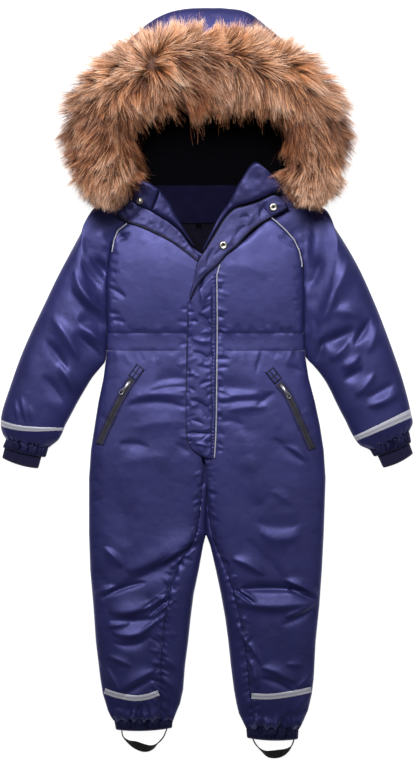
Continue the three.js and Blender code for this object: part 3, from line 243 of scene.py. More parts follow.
# Folds of the top side in plan: a line from 1 to 2 bent sideways by bow, how far the fold reaches
# to the left (up) and right (down) of it, and its rise
FOLD_COLUMNS = "x1 y1 x2 y2 bow up down rise"
FOLDS = table(
    FOLD_COLUMNS,
    # left hip and thigh
    (-126, -30, -32, -24, 8, 13, 9, 3.0), (-128, -38, -32, -42, 9, 6, 9, -2.4),
    (-120, -74, -28, -64, 4, 12, 12, 1.6), (-140, -99, -92, -104, 3, 5, 12, -2.6),
    (-92, -15, -32, -7, 2, 3, 5, -1.8), (-138, -130, -58, -120, 4, 14, 18, 1.6),
    (-50, -98, -26, -114, 0, 6, 6, -1.8), (-84, 0, -32, 6, 3, 14, 9, -2.8),
    (-152, -150, -128, -262, 4, 22, 26, -2.4), (-166, -264, -134, -294, 2, 5, 8, 3.4),
    (-128, -304, -8, -238, -6, 24, 9, 4.6), (-134, -322, -10, -256, -5, 8, 16, -3.6),
    (-76, -292, -24, -260, 2, 3.5, 4.5, 2.8), (-60, -299, -18, -268, 2, 3, 3.5, 1.8),
    # left knee and shin
    (-184, -340, -144, -326, 1, 4, 7, 3.0), (-170, -346, -96, -320, 4, 5, 4, -3.8),
    (-158, -366, -90, -354, -7, 18, 6, 5.2), (-108, -370, -56, -336, 1, 3.5, 3, 2.6),
    (-100, -356, -52, -326, -1, 3, 3.5, 2.4), (-92, -378, -48, -346, 1, 3, 3, 2.2),
    (-104, -362, -58, -330, 0, 2.5, 2.5, -2.6), (-96, -374, -54, -342, 0, 2.5, 2.5, -2.2),
    (-156, -380, -84, -376, -3, 5, 8, -2.8), (-162, -392, -122, -385, 1, 9, 4, 3.0),
    (-152, -400, -84, -386, -11, 11, 5, 4.4), (-150, -416, -88, -404, -9, 5, 8, -2.6),
    (-106, -398, -62, -372, 1, 3, 3, 1.9), (-160, -438, -120, -454, 1, 7, 4, 2.4),
    (-144, -496, -82, -460, 2, 12, 5, 3.8), (-136, -504, -84, -474, 2, 5, 6, -2.2),
    (-180, -436, -140, -494, 3, 4, 6, 1.9), (-72, -470, -40, -502, 2, 5, 7, 1.9),
    (-74, -402, -48, -404, 1, 4, 4, 1.7), (-70, -440, -44, -462, 2, 5, 6, 1.4),
    # right hip and thigh
    (12, -2, 78, -13, -3, 20, 10, -3.4), (20, -27, 88, -20, 3, 10, 6, 2.4),
    (22, -34, 90, -30, 2, 5, 8, -1.8), (34, -46, 96, -40, 3, 10, 7, 2.8),
    (78, -40, 108, -16, 1, 5, 6, -2.6), (16, -58, 60, -70, 2, 7, 8, -1.6),
    (52, -78, 80, -142, 4, 17, 22, 2.4), (66, -116, 84, -196, 4, 15, 20, 2.6),
    (104, -90, 154, -130, 2, 7, 9, -2.8), (118, -100, 164, -126, 3, 5, 6, 2.4),
    (102, -174, 136, -196, 2, 9, 7, 1.3), (82, -238, 152, -240, -12, 15, 10, 2.2),
    (76, -222, 152, -226, -8, 14, 8, -1.4), (40, -282, 92, -308, 3, 11, 6, 3.8),
    (60, -250, 132, -330, 4, 12, 18, -1.8),
    # right knee and shin
    (42, -333, 164, -335, 4, 8, 5, -5.4), (36, -348, 170, -350, -9, 15, 7, 5.2),
    (122, -316, 180, -342, 2, 8, 4, 4.0), (128, -330, 178, -352, 1, 4, 5, -3.4),
    (124, -376, 180, -346, -2, 7, 5, 3.6), (118, -388, 172, -362, -2, 6, 7, -2.2),
    (38, -334, 72, -356, 1, 3, 3, 2.4), (48, -328, 80, -350, 1, 3, 3, 2.2),
    (44, -332, 76, -353, 0, 2.5, 2.5, -2.6), (48, -386, 66, -432, 2, 3, 4, 2.0),
    (56, -408, 88, -452, 3, 3.5, 5, 2.4), (66, -440, 82, -492, 2, 7, 7, 2.8),
    (86, -456, 142, -480, 3, 11, 5, 3.8), (84, -472, 136, -494, 3, 5, 6, -2.2),
    (126, -450, 154, -452, 0, 5, 5, 1.8), (144, -490, 174, -464, 1, 5, 6, 2.4),
    (136, -530, 170, -500, 1, 9, 7, 2.8),
    # chest
    (30, 186, 96, 168, 6, 18, 26, 1.4), (-100, 236, -62, 116, 6, 24, 28, 1.4),
    (-150, 220, -122, 238, 1, 4, 5, -2.6), (-160, 152, -130, 134, 2, 4, 5, -2.8),
    (-160, 178, -144, 174, 0, 4, 4, -2.0), (-160, 100, -130, 95, 1, 5, 5, -2.2),
    (88, 52, 78, 12, 0, 2.2, 2.2, -2.0), (128, 26, 156, 12, 1, 5, 6, -2.4),
    (152, 210, 112, 232, -2, 5, 6, -1.8),
    # left sleeve
    (-186, 198, -156, 164, 2, 9, 8, -7.0), (-212, 176, -156, 112, -11, 9, 11, 5.6),
    (-200, 196, -160, 144, -6, 6, 7, -4.4), (-218, 150, -168, 100, -6, 9, 11, -3.6),
    (-206, 98, -156, 84, 2, 17, 10, -6.0), (-206, 90, -158, 54, 3, 9, 6, 5.0),
    (-212, 78, -166, 36, 2, 5, 9, -4.8), (-248, 104, -204, 36, 3, 10, 9, 4.8),
    (-258, 66, -222, 16, 2, 8, 8, -3.6), (-236, 30, -208, -22, 2, 8, 9, 3.4),
    (-262, 10, -230, -34, 2, 9, 10, -2.6), (-150, 258, -128, 226, -3, 5, 7, -3.4),
    (-170, 244, -148, 206, -3, 7, 7, 3.2), (-196, 230, -178, 196, -2, 7, 9, -2.4),
    (-308, -30, -302, -62, 1, 2.5, 3, 1.5), (-297, -22, -289, -64, 1, 2.5, 3.5, 1.9),
    (-284, -36, -279, -66, 1, 3, 3, 1.3),
    # right sleeve
    (158, 272, 158, 196, 2, 6, 6, -6.0), (172, 266, 170, 186, 2, 12, 10, 3.6),
    (184, 200, 160, 146, 3, 7, 9, -3.8), (232, 204, 178, 112, 6, 11, 11, 3.8),
    (206, 140, 176, 92, 3, 9, 9, 3.0), (176, 60, 236, 86, -3, 8, 13, -6.4),
    (170, 26, 186, 68, -2, 8, 8, -5.0), (234, 60, 260, 102, -2, 8, 7, -5.0),
    (200, 112, 250, 104, 4, 9, 9, 3.2), (196, 34, 226, 66, -2, 9, 8, 3.4),
    (214, 22, 244, 40, -2, 7, 8, 3.6), (216, 4, 250, 22, -2, 7, 8, -3.4),
    (256, 46, 276, 96, -2, 8, 8, 3.0), (236, -22, 268, 14, -2, 7, 8, 2.8),
    (252, -26, 300, 0, -2, 6, 8, -2.6), (256, -40, 314, -12, -3, 9, 7, 3.2),
)


def mix(a, b, t):
    return a + (b - a) * t


def ease(t):
    t = np.clip(t, 0, 1)
    return t * t * (3 - 2 * t)


def dome(t):
    return np.sqrt(1 - (1 - np.clip(t, 0, 1)) ** 2)


def by_row(column, row):
    """A smooth curve through a table's column, read at row numbers that may lie between rows."""
    row = np.asarray(row, float)
    last = len(column) - 1
    i = np.clip(np.floor(row).astype(int), 0, last - 1)
    t = row - i
    before, a, b, after = (column[np.clip(i + k, 0, last)] for k in (-1, 0, 1, 2))
    h = t * t * (3 - 2 * t)
    return a * (1 - h) + b * h + (b - before) / 2 * t * (1 - t) ** 2 - (after - a) / 2 * t * t * (1 - t)


def lookup(source, key, column):
    """A line through a column as a function of another column, which falls from row to row."""
    return lambda k: np.interp(-np.asarray(k, float), -source[key], source[column])


def smooth_height(reach=16):
    """The profile's height with its corners rounded off."""
    y = np.arange(-620.0, 350.0)
    window = np.exp(-((np.arange(-40, 41) / reach) ** 2))
    height = np.pad(lookup(PROFILE, "y", "height")(y), 40, mode="edge")
    smoothed = np.convolve(height, window / window.sum(), "valid")
    return lambda k: np.interp(k, y, smoothed)


def noise(x, y, size, seed):
    """Smooth noise from -1 to 1 with humps about that size."""
    lattice = np.random.default_rng(seed).uniform(-1, 1, (64, 64))
    i, j = np.floor(x / size).astype(int), np.floor(y / size).astype(int)
    a, b = ease(x / size - i), ease(y / size - j)
    near = mix(lattice[i % 64, j % 64], lattice[(i + 1) % 64, j % 64], a)
    far = mix(lattice[i % 64, (j + 1) % 64], lattice[(i + 1) % 64, (j + 1) % 64], a)
    return mix(near, far, b)


def fold_sum(x, y, folds):
    """Height that a table of folds adds at places in plan."""
    z = np.zeros(np.broadcast(x, y).shape)
    for k in range(len(folds["x1"])):
        x1, y1, x2, y2, bow, up, down, rise = (folds[c][k] for c in FOLD_COLUMNS.split())
        reach = 2.6 * max(up, down) + abs(bow)
        near = (x > min(x1, x2) - reach) & (x < max(x1, x2) + reach)
        near &= (y > min(y1, y2) - reach) & (y < max(y1, y2) + reach)
        if not near.any():
            continue
        length = math.hypot(x2 - x1, y2 - y1)
        dx, dy = (x2 - x1) / length, (y2 - y1) / length
        t = ((x[near] - x1) * dx + (y[near] - y1) * dy) / length
        side = (y[near] - y1) * dx - (x[near] - x1) * dy - bow * 4 * t * (1 - t)
        lens = np.clip(1 - (2 * t - 1) ** 2, 0, 1)
        width = np.where(side > 0, up, down) * (0.35 + 0.65 * lens)
        z[near] += rise * np.exp(-np.abs(side / width) ** 1.6) * lens**0.8
    return z


def wrinkles_along(line, into, count, length, depth, width, seed):
    """Short valleys and ridges that start on a seam and run into the cloth, uneven in size and spacing.
    line gives the seam's places, and into is the way off it in degrees."""
    rng = np.random.default_rng(seed)
    x, y = line((np.arange(count) + rng.uniform(0.1, 0.9, count)) / count)
    size = length * rng.uniform(0.4, 1.35, count)
    turn = np.radians(into + rng.normal(0, 15, count))
    sign = np.where(rng.uniform(size=count) < 0.65, -1, 0.8)
    return {
        "x1": x - 0.25 * size * np.cos(turn),
        "y1": y - 0.25 * size * np.sin(turn),
        "x2": x + size * np.cos(turn),
        "y2": y + size * np.sin(turn),
        "bow": rng.normal(0, 0.06, count) * size,
        "up": width * rng.uniform(0.7, 1.4, count),
        "down": width * rng.uniform(0.7, 1.4, count),
        "rise": sign * depth * rng.uniform(0.4, 1.2, count),
    }


def joined(tables):
    return {c: np.concatenate([t[c] for t in tables]) for c in FOLD_COLUMNS.split()}


outer_edge = {side: lookup(OUTER, "y", side) for side in SIDES}
inseam = {side: lookup(INSEAM, "y", side) for side in SIDES}
front_inner = {side: lookup(FRONT_INNER, "y", side) for side in SIDES}
body_height = smooth_height()
body_edge = lookup(PROFILE, "y", "edge")


def inner_edge(side, y):
    return np.where(np.asarray(y) > CROTCH_Y, CENTRE_SEAM, inseam[side](y))


def along_seam(edge, y_from, y_to):
    """A seam as a function from 0 to 1 to its places, from an edge given by its height in plan."""
    return lambda t: (edge(mix(y_from, y_to, t)), mix(y_from, y_to, t))


def across_seam(y, x_from, x_to):
    return lambda t: (mix(x_from, x_to, t), np.full(np.shape(t), float(y)))


SEAM_WRINKLES = joined(
    [
        wrinkles_along(lambda t: (np.full(t.shape, 17.0), mix(176, -118, t)), -20, 30, 17, 1.7, 3.0, 11),
        wrinkles_along(lambda t: (np.full(t.shape, -33.0), mix(120, -96, t)), 195, 16, 12, 0.9, 3.2, 12),
        wrinkles_along(across_seam(WAIST_TOP, -155, -36), 92, 9, 13, 0.9, 4.0, 13),
        wrinkles_along(across_seam(WAIST_TOP, 18, 150), 88, 11, 14, 1.2, 4.0, 14),
        wrinkles_along(across_seam(WAIST_BOTTOM, -155, -36), -90, 8, 18, 0.7, 4.0, 15),
        wrinkles_along(across_seam(WAIST_BOTTOM, 18, 150), -88, 11, 18, 0.9, 3.8, 16),
        wrinkles_along(along_seam(outer_edge["left"], 240, 92), 4, 17, 17, 1.7, 3.6, 17),
        wrinkles_along(along_seam(outer_edge["left"], 250, 62), 176, 20, 22, 2.0, 4.2, 18),
        wrinkles_along(along_seam(outer_edge["right"], 240, 92), 176, 16, 15, 1.4, 3.6, 19),
        wrinkles_along(along_seam(outer_edge["right"], 250, 62), 2, 20, 22, 2.0, 4.2, 20),
        wrinkles_along(along_seam(front_inner["left"], -126, -290), 205, 24, 15, 1.4, 3.0, 21),
        wrinkles_along(along_seam(front_inner["right"], -126, -290), -24, 22, 14, 1.3, 3.0, 22),
        wrinkles_along(along_seam(front_inner["left"], -290, -530), 150, 34, 19, 1.7, 3.0, 23),
        wrinkles_along(along_seam(front_inner["left"], -230, -530), -30, 34, 15, 1.5, 3.2, 24),
        wrinkles_along(along_seam(front_inner["right"], -290, -540), 30, 34, 17, 1.6, 3.0, 25),
        wrinkles_along(along_seam(front_inner["right"], -250, -540), 215, 30, 14, 1.3, 3.2, 26),
        wrinkles_along(across_seam(HEM_TOP["left"], -150, -58), 88, 17, 26, 3.0, 4.2, 27),
        wrinkles_along(across_seam(HEM_TOP["right"], 66, 150), 92, 16, 26, 3.0, 4.2, 28),
        wrinkles_along(along_seam(outer_edge["left"], 30, -520), 8, 34, 20, 0.9, 5.0, 29),
        wrinkles_along(along_seam(outer_edge["right"], 30, -520), 172, 34, 20, 0.9, 5.0, 30),
    ]
)


# How strong the folds are on the front above the crotch, on the legs and on the sleeves
FOLD_SCALE = {"front": 0.9, "legs": 1.25, "sleeves": 1.35}


def soft_relief(x, y):
    """Everything that unsettles the padded cloth: folds, wrinkles at its seams and a slight unevenness."""
    uneven = 0.8 * noise(x, y, 58, 3) + 0.22 * noise(x + 0.4 * y, y, 21, 4) + 0.07 * noise(x, y, 8, 5)
    calm = 1 - 0.5 * ease((y - 60) / 30) * (np.abs(x) < 165)
    is_sleeve = np.abs(x) > np.interp(y, [-150, -30, 60], [200, 185, 162])
    scale = mix(FOLD_SCALE["legs"], FOLD_SCALE["front"], ease((y + 210) / 60))
    scale = np.where(is_sleeve & (y > -150), FOLD_SCALE["sleeves"], scale)
    return scale * fold_sum(x, y, FOLDS) + fold_sum(x, y, SEAM_WRINKLES) + uneven * calm


def front_top(x, y, relief=True):
    """Height of the front: a dome that falls to both side seams, and to the crotch and inseams."""
    x, y = np.broadcast_arrays(np.asarray(x, float), np.asarray(y, float))
    is_left = x < CENTRE_SEAM
    from_side = np.abs(x - np.where(is_left, outer_edge["left"](y), outer_edge["right"](y)))
    from_inner = np.abs(x - np.where(is_left, inner_edge("left", y), inner_edge("right", y)))
    legs = ease((-110 - y) / (-110 - CROTCH_Y))
    half = (from_side + from_inner) / 2
    inner = 1 - legs * (1 - dome(from_inner / np.minimum(INSEAM_ROUND, half)))
    shape = dome(from_side / np.minimum(SIDE_ROUND, half)) * inner
    low = FRONT_LOW + body_edge(y)
    lifted = soft_relief(x, y) * np.minimum(1, shape * 1.3) if relief else 0
    return np.maximum(mix(low, body_height(y), shape) + lifted, FRONT_LOW + 2.5)


# Meshes
def grid_faces(rows, columns, first=0, wrap=False):
    """Corners of every cell of a grid of points; wrap joins its last column to its first."""
    i = np.arange(rows - 1)[:, None]
    j = np.arange(columns if wrap else columns - 1)[None, :]
    a, b = i * columns + j, i * columns + (j + 1) % columns
    return np.stack([a, b, b + columns, a + columns], -1).reshape(-1, 4) + first


def rim_of(rows, columns):
    """Indexes of a grid's edge points in order."""
    top = np.arange(columns - 1)
    right = np.arange(rows - 1) * columns + columns - 1
    bottom = (rows - 1) * columns + np.arange(columns - 1, 0, -1)
    left = np.arange(rows - 1, 0, -1) * columns
    return np.concatenate([top, right, bottom, left])


def make_mesh(name, points, faces, values=None):
    """A mesh from points and arrays of faces, with any named values at its points."""
    mesh = bpy.data.meshes.new(name)
    corners = np.concatenate([f.ravel() for f in faces]).astype(np.int32)
    sizes = np.concatenate([np.full(len(f), f.shape[1]) for f in faces])
    starts = np.concatenate([[0], np.cumsum(sizes)[:-1]]).astype(np.int32)
    mesh.vertices.add(len(points))
    mesh.vertices.foreach_set("co", (np.asarray(points) * MM).astype(np.float32).ravel())
    mesh.loops.add(len(corners))
    mesh.loops.foreach_set("vertex_index", corners)
    mesh.polygons.add(len(sizes))
    mesh.polygons.foreach_set("loop_start", starts)
    for key, value in (values or {}).items():
        layer = mesh.attributes.new(key, "FLOAT", "POINT")
        layer.data.foreach_set("value", np.asarray(value, np.float32).ravel())
    mesh.update(calc_edges=True)
    mesh.shade_smooth()
    return mesh


def add_piece(name, mesh, material, nodes=(), sharp=55):
    """Links a mesh as a piece of the suit that stands for the CAD nodes it names."""
    if sharp:
        work = bmesh.new()
        work.from_mesh(mesh)
        bmesh.ops.recalc_face_normals(work, faces=work.faces)
        work.to_mesh(mesh)
        work.free()
        mesh.set_sharp_from_angle(angle=math.radians(sharp))
    piece = bpy.data.objects.new("shown_" + name, mesh)
    bpy.context.scene.collection.objects.link(piece)
    mesh.materials.append(material)
    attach(piece, "root")
    if nodes:
        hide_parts(*nodes)
    return piece


def slab(name, top, bottom, material, nodes=(), values=None, sharp=55):
    """A closed piece between two matching grids of points."""
    rows, columns = top.shape[:2]
    points = np.concatenate([top.reshape(-1, 3), bottom.reshape(-1, 3)])
    under = rows * columns
    rim = rim_of(rows, columns)
    ahead = np.roll(rim, -1)
    cells = grid_faces(rows, columns)
    walls = np.stack([rim, ahead, ahead + under, rim + under], -1)
    both = {key: np.concatenate([value.ravel()] * 2) for key, value in (values or {}).items()}
    mesh = make_mesh(name, points, [cells, cells[:, ::-1] + under, walls], both)
    return add_piece(name, mesh, material, nodes, sharp)


def pad(name, face, flat_z, material, nodes):
    """A padded panel: a modelled face over its grid, and a flat face behind it."""
    rows, columns = face.shape[:2]
    rim = rim_of(rows, columns)
    points = face.reshape(-1, 3)
    ring = points[rim] * [1, 1, 0] + [0, 0, flat_z]
    first = len(points)
    near = first + np.arange(len(rim))
    walls = np.stack([rim, np.roll(rim, -1), np.roll(near, -1), near], -1)
    faces = [grid_faces(rows, columns), walls, near[None, ::-1]]
    mesh = make_mesh(name, np.concatenate([points, ring]), faces)
    return add_piece(name, mesh, material, nodes)


def tube(name, outer, inner, material, nodes, values=None):
    """A wall between outer and inner rings of points, open at both ends."""
    rings = np.concatenate([outer, inner[::-1], outer[:1]])
    rows, columns = rings.shape[:2]
    count = (rows - 1) * columns
    faces = grid_faces(rows, columns, wrap=True) % count
    points = rings[:-1].reshape(-1, 3)
    mesh = make_mesh(name, points, [faces], values)
    return add_piece(name, mesh, material, nodes)


def loft(name, rings, material, nodes=(), values=None, sharp=55):
    """A solid through rings of points, closed at both ends."""
    rows, columns = rings.shape[:2]
    ends = np.stack([np.arange(columns)[::-1], (rows - 1) * columns + np.arange(columns)])
    faces = [grid_faces(rows, columns, wrap=True), ends]
    return add_piece(name, make_mesh(name, rings.reshape(-1, 3), faces, values), material, nodes, sharp)


def stack(x, y, z):
    return np.stack(np.broadcast_arrays(x, y, z), -1).astype(float)


def cut_of(grid):
    """Width, length and area in metres of the cloth that a grid of points lies on."""
    grid = grid * MM
    across, down = np.diff(grid, axis=1), np.diff(grid, axis=0)
    width = np.linalg.norm(across, axis=2).sum(1).max()
    length = np.linalg.norm(down, axis=2).sum(0).max()
    cells = np.cross(across[:-1] + across[1:], down[:, :-1] + down[:, 1:])
    return width, length, np.linalg.norm(cells, axis=2).sum() / 4


def lay(piece, grid):
    """Works out the width, length and area of the cloth that a grid's surface measures; these are not used,
    and the piece comes back unchanged.
    """
    width, length, area = cut_of(grid)
    width, length = max(width, NARROWEST), max(length, NARROWEST)
    return piece


# Materials
def new_material(name, color, roughness, **sockets):
    """A material whose shader has its plain values set on its own sockets."""
    material = bpy.data.materials.new(name)
    material.use_nodes = True
    shader = material.node_tree.nodes["Principled BSDF"]
    shader.inputs["Base Color"].default_value = (*color, 1)
    shader.inputs["Roughness"].default_value = roughness
    for key, value in sockets.items():
        shader.inputs[key.replace("_", " ")].default_value = value
    return material


def node(material, kind, inputs=None, **settings):
    """A node with settings, and inputs that are values or other nodes' outputs."""
    made = material.node_tree.nodes.new(kind)
    for key, value in settings.items():
        setattr(made, key, value)
    for key, value in (inputs or {}).items():
        if isinstance(value, bpy.types.NodeSocket):
            material.node_tree.links.new(value, made.inputs[key])
        else:
            made.inputs[key].default_value = value
    return made


def connect(material, output, socket):
    shader = material.node_tree.nodes["Principled BSDF"]
    material.node_tree.links.new(output, shader.inputs[socket])


def place_of(material):
    return node(material, "ShaderNodeTexCoord").outputs["Object"]


def ramp(material, source, *stops):
    """A colour ramp through stops of a place and a colour."""
    made = node(material, "ShaderNodeValToRGB", {"Fac": source})
    elements = made.color_ramp.elements
    while len(elements) < len(stops):
        elements.new(0.5)
    for element, (place, color) in zip(elements, stops):
        element.position = place
        element.color = (*color, 1)
    return made.outputs["Color"]


def noise_node(material, scale, detail=2.0, **inputs):
    values = {"Vector": place_of(material), "Scale": scale, "Detail": detail, **inputs}
    return node(material, "ShaderNodeTexNoise", values).outputs["Fac"]


def spread(material, value, low, high):
    inputs = {"Value": value, "From Min": 0.3, "From Max": 0.7, "To Min": low, "To Max": high}
    return node(material, "ShaderNodeMapRange", inputs).outputs["Result"]


def bumps(material, *layers):
    """Bump from layers of a height and its real depth in metres, one on another."""
    normal = None
    for height, depth in layers:
        inputs = {"Height": height, "Distance": depth, "Strength": 1.0}
        if normal:
            inputs["Normal"] = normal
        normal = node(material, "ShaderNodeBump", inputs).outputs["Normal"]
    connect(material, normal, "Normal")


def weave(material, pitch):
    """A plain weave: two sets of threads at right angles, as a height."""
    heights = []
    for direction in ("X", "Y"):
        wave = node(
            material, "ShaderNodeTexWave", {"Vector": place_of(material), "Scale": 1 / (TAU * pitch)},
            wave_type="BANDS", bands_direction=direction,
        )
        heights.append(wave.outputs["Fac"])
    return node(material, "ShaderNodeMath", {0: heights[0], 1: heights[1]}, operation="MAXIMUM").outputs[0]


def nylon(name, dark, light, roughness, gloss=1.0):
    material = new_material(
        name, light, roughness,
        Specular_IOR_Level=gloss, Specular_Tint=(0.4, 0.4, 1.0, 1), Sheen_Weight=0.04, Sheen_Roughness=0.4,
        Sheen_Tint=(0.58, 0.6, 1.0, 1),
    )
    connect(material, ramp(material, noise_node(material, 22.0), (0.3, dark), (0.7, light)), "Base Color")
    sheen = spread(material, noise_node(material, 60.0, 3.0), roughness - 0.05, roughness + 0.06)
    connect(material, sheen, "Roughness")
    crinkle = noise_node(material, 70.0, 3.0, Roughness=0.45, Distortion=0.5)
    bumps(material, (crinkle, 0.0004), (weave(material, 0.0006), 0.00003))
    return material


def woven(name, dark, light, roughness, pitch, depth, gloss=0.25):
    """Matt woven or knitted cloth."""
    material = new_material(name, light, roughness, Specular_IOR_Level=gloss, Sheen_Weight=gloss / 5)
    color = ramp(material, noise_node(material, 90.0, 3.0), (0.3, dark), (0.7, light))
    connect(material, color, "Base Color")
    bumps(material, (noise_node(material, 400.0, 3.0), depth), (weave(material, pitch), depth))
    return material


def ribbed(name, dark, light, value, count, depth):
    """Cloth with ribs across a named value of its mesh, coloured darker in the rib valleys and lighter on the
    crests as painted shade.
    """
    material = new_material(name, light, 0.8, Specular_IOR_Level=0.2, Sheen_Weight=0.15)
    ribs = node(material, "ShaderNodeAttribute", attribute_name=value)
    turned = node(material, "ShaderNodeMath", {0: ribs.outputs["Fac"], 1: count * TAU}, operation="MULTIPLY")
    wave = node(material, "ShaderNodeMath", {0: turned.outputs[0]}, operation="SINE")
    lifted = node(material, "ShaderNodeMath", {0: wave.outputs[0], 1: 0.5, 2: 0.5}, operation="MULTIPLY_ADD")
    # Painted shade: the colour follows the ribs' height, dark in their valleys.
    connect(material, ramp(material, lifted.outputs[0], (0.1, dark), (0.8, light)), "Base Color")
    bumps(material, (lifted.outputs[0], depth), (noise_node(material, 900.0), depth / 4))
    return material


def metal(name, color, roughness):
    material = new_material(name, color, roughness, Metallic=1.0)
    worn = noise_node(material, 500.0, 4.0)
    connect(material, spread(material, worn, roughness - 0.06, roughness + 0.14), "Roughness")
    dull = tuple(0.72 * c for c in color)
    patchy = ramp(material, noise_node(material, 180.0, 3.0), (0.35, dull), (0.6, color))
    connect(material, patchy, "Base Color")
    bumps(material, (noise_node(material, 1400.0), 0.00002))
    return material


def reflective():
    """Light grey tape with a darker middle, by how far across it a point lies."""
    material = new_material("reflective_tape", (0.46, 0.46, 0.5), 0.38, Specular_IOR_Level=0.7)
    place = node(material, "ShaderNodeAttribute", attribute_name="across").outputs["Fac"]
    light, dark = (0.4, 0.4, 0.46), (0.26, 0.26, 0.31)
    stops = ((0.0, light), (0.34, light), (0.4, dark), (0.6, dark), (0.66, light), (1.0, light))
    color = ramp(material, place, *stops)
    connect(material, color, "Base Color")
    beads = node(material, "ShaderNodeTexVoronoi", {"Vector": place_of(material), "Scale": 1800.0})
    bumps(material, (beads.outputs["Distance"], 0.00004))
    return material


def blended(material, factor, a, b, blend="MIX"):
    """A colour blended from two by a factor that is a number or another node's output."""
    made = node(material, "ShaderNodeMix", {"Factor": factor}, data_type="RGBA", blend_type=blend)
    for color, socket in zip((a, b), (socket for socket in made.inputs if socket.type == "RGBA")):
        material.node_tree.links.new(color, socket)
    return next(socket for socket in made.outputs if socket.type == "RGBA")


def fur_material():
    """Hair: dark at its root, rust-brown along it and cream at its tip, by place along it and its tone."""
    material = new_material("fur", (0.5, 0.3, 0.17), 0.5, Specular_IOR_Level=0.25)
    along = node(material, "ShaderNodeAttribute", attribute_name="along").outputs["Fac"]
    tone = node(material, "ShaderNodeAttribute", attribute_name="tone").outputs["Fac"]
    rust = ramp(
        material, along,
        (0.0, (0.006, 0.002, 0.001)), (0.4, (0.02, 0.006, 0.003)), (0.7, (0.1, 0.028, 0.01)),
        (0.88, (0.3, 0.1, 0.038)), (1.0, (0.85, 0.5, 0.3)),
    )
    pale = ramp(
        material, along,
        (0.0, (0.03, 0.011, 0.005)), (0.25, (0.14, 0.052, 0.024)), (0.55, (0.66, 0.32, 0.16)),
        (0.85, (1.0, 0.66, 0.46)), (1.0, (1.0, 0.92, 0.84)),
    )
    grey, warm = (1.0, 0.97, 0.95), (1.0, 0.82, 0.66)
    patches = ramp(material, noise_node(material, 17.0, 1.0), (0.46, grey), (0.64, warm))
    color = blended(material, 1.0, blended(material, tone, rust, pale), patches, "MULTIPLY")
    connect(material, color, "Base Color")
    return material


NYLON = nylon("nylon", (0.0085, 0.009, 0.05), (0.012, 0.0125, 0.068), 0.47)
NYLON_DARK = nylon("nylon_shaded", (0.007, 0.0065, 0.03), (0.01, 0.0095, 0.042), 0.42, 0.6)
# The elastic bands' nylon, darkened as painted shade among their gathers.
NYLON_GATHERS_PAINTED_SHADE = nylon("nylon_gathers_painted_shade", (0.0035, 0.0033, 0.015), (0.006, 0.0056, 0.025), 0.5, 0.6)
# The neck facing's nylon, darkened as painted shade inside the neck, with little gloss.
NYLON_PAINTED_SHADE = nylon("nylon_painted_shade", (0.0009, 0.0007, 0.0045), (0.0018, 0.0015, 0.0085), 0.5, 0.05)
LINING = woven("lining", (0.0008, 0.0006, 0.003), (0.0018, 0.0014, 0.006), 0.75, 0.0008, 0.00005, 0.05)
# Black lining, darkened further as painted shade inside the hood.
BLACK_LINING_PAINTED_SHADE = woven(
    "black_lining", (0.0003, 0.0003, 0.0008), (0.0006, 0.0005, 0.0014), 0.9, 0.0009, 0.00006, 0.03
)
RIB = ribbed("rib_knit", (0.0018, 0.0013, 0.016), (0.005, 0.0036, 0.044), "around", 64, 0.0006)
WEBBING = ribbed("webbing", (0.001, 0.001, 0.001), (0.005, 0.005, 0.006), "across", 7, 0.0003)
PIPING = new_material("piping", (0.3, 0.3, 0.36), 0.4, Specular_IOR_Level=0.7)
EDGING = woven("edging", (0.004, 0.004, 0.009), (0.01, 0.009, 0.02), 0.55, 0.0006, 0.00004)
REFLECTIVE = reflective()
ZIP_TAPE = woven("zip_tape", (0.014, 0.012, 0.022), (0.028, 0.024, 0.038), 0.6, 0.0008, 0.00006)
COIL = new_material("zip_coil", (0.03, 0.027, 0.038), 0.45, Specular_IOR_Level=0.6)
THREAD = new_material("thread", (0.01, 0.009, 0.042), 0.6)
NICKEL = metal("nickel", (0.62, 0.58, 0.5), 0.26)
DARK_METAL = metal("dark_metal", (0.3, 0.29, 0.34), 0.36)
FUR = fur_material()
connect(PIPING, spread(PIPING, noise_node(PIPING, 300.0), 0.34, 0.46), "Roughness")
bumps(PIPING, (noise_node(PIPING, 1500.0), 0.00005))
bumps(COIL, (noise_node(COIL, 2500.0), 0.00003))
bumps(THREAD, (noise_node(THREAD, 3000.0), 0.00006))


# Front and back of the body
def plan_grid(left, right, top, bottom, pitch):
    """Places in plan, with rows from top to bottom and columns from left to right, closer at the sides."""
    ys = np.linspace(0, 1, 9)
    tall = np.max(top(ys) - bottom(ys))
    y_line = np.linspace(np.max(top(ys)), np.min(bottom(ys)), 30)
    wide = np.max(right(y_line) - left(y_line))
    t = np.linspace(0, 1, max(4, round(wide / pitch)) + 1)[None, :]
    v = np.linspace(0, 1, max(3, round(tall / pitch)) + 1)[:, None]
    u = mix(t, (1 - np.cos(math.pi * t)) / 2, 0.5)
    y = mix(top(u), bottom(u), v)
    return mix(left(y), right(y), u), y


def level(value):
    return lambda u: np.full(np.shape(u), float(value))


def sewn_dip(distance):
    """How far cloth is drawn down at a distance from a sewn edge."""
    return SEAM_DIP * np.exp(-((distance / 3.4) ** 1.3))


CHEST_SEWN = {"top": 1.0, "bottom": 0.45, "left": 1.0, "right": 1.0}
BAND_SEWN = {"top": 0.1, "bottom": 0.25}


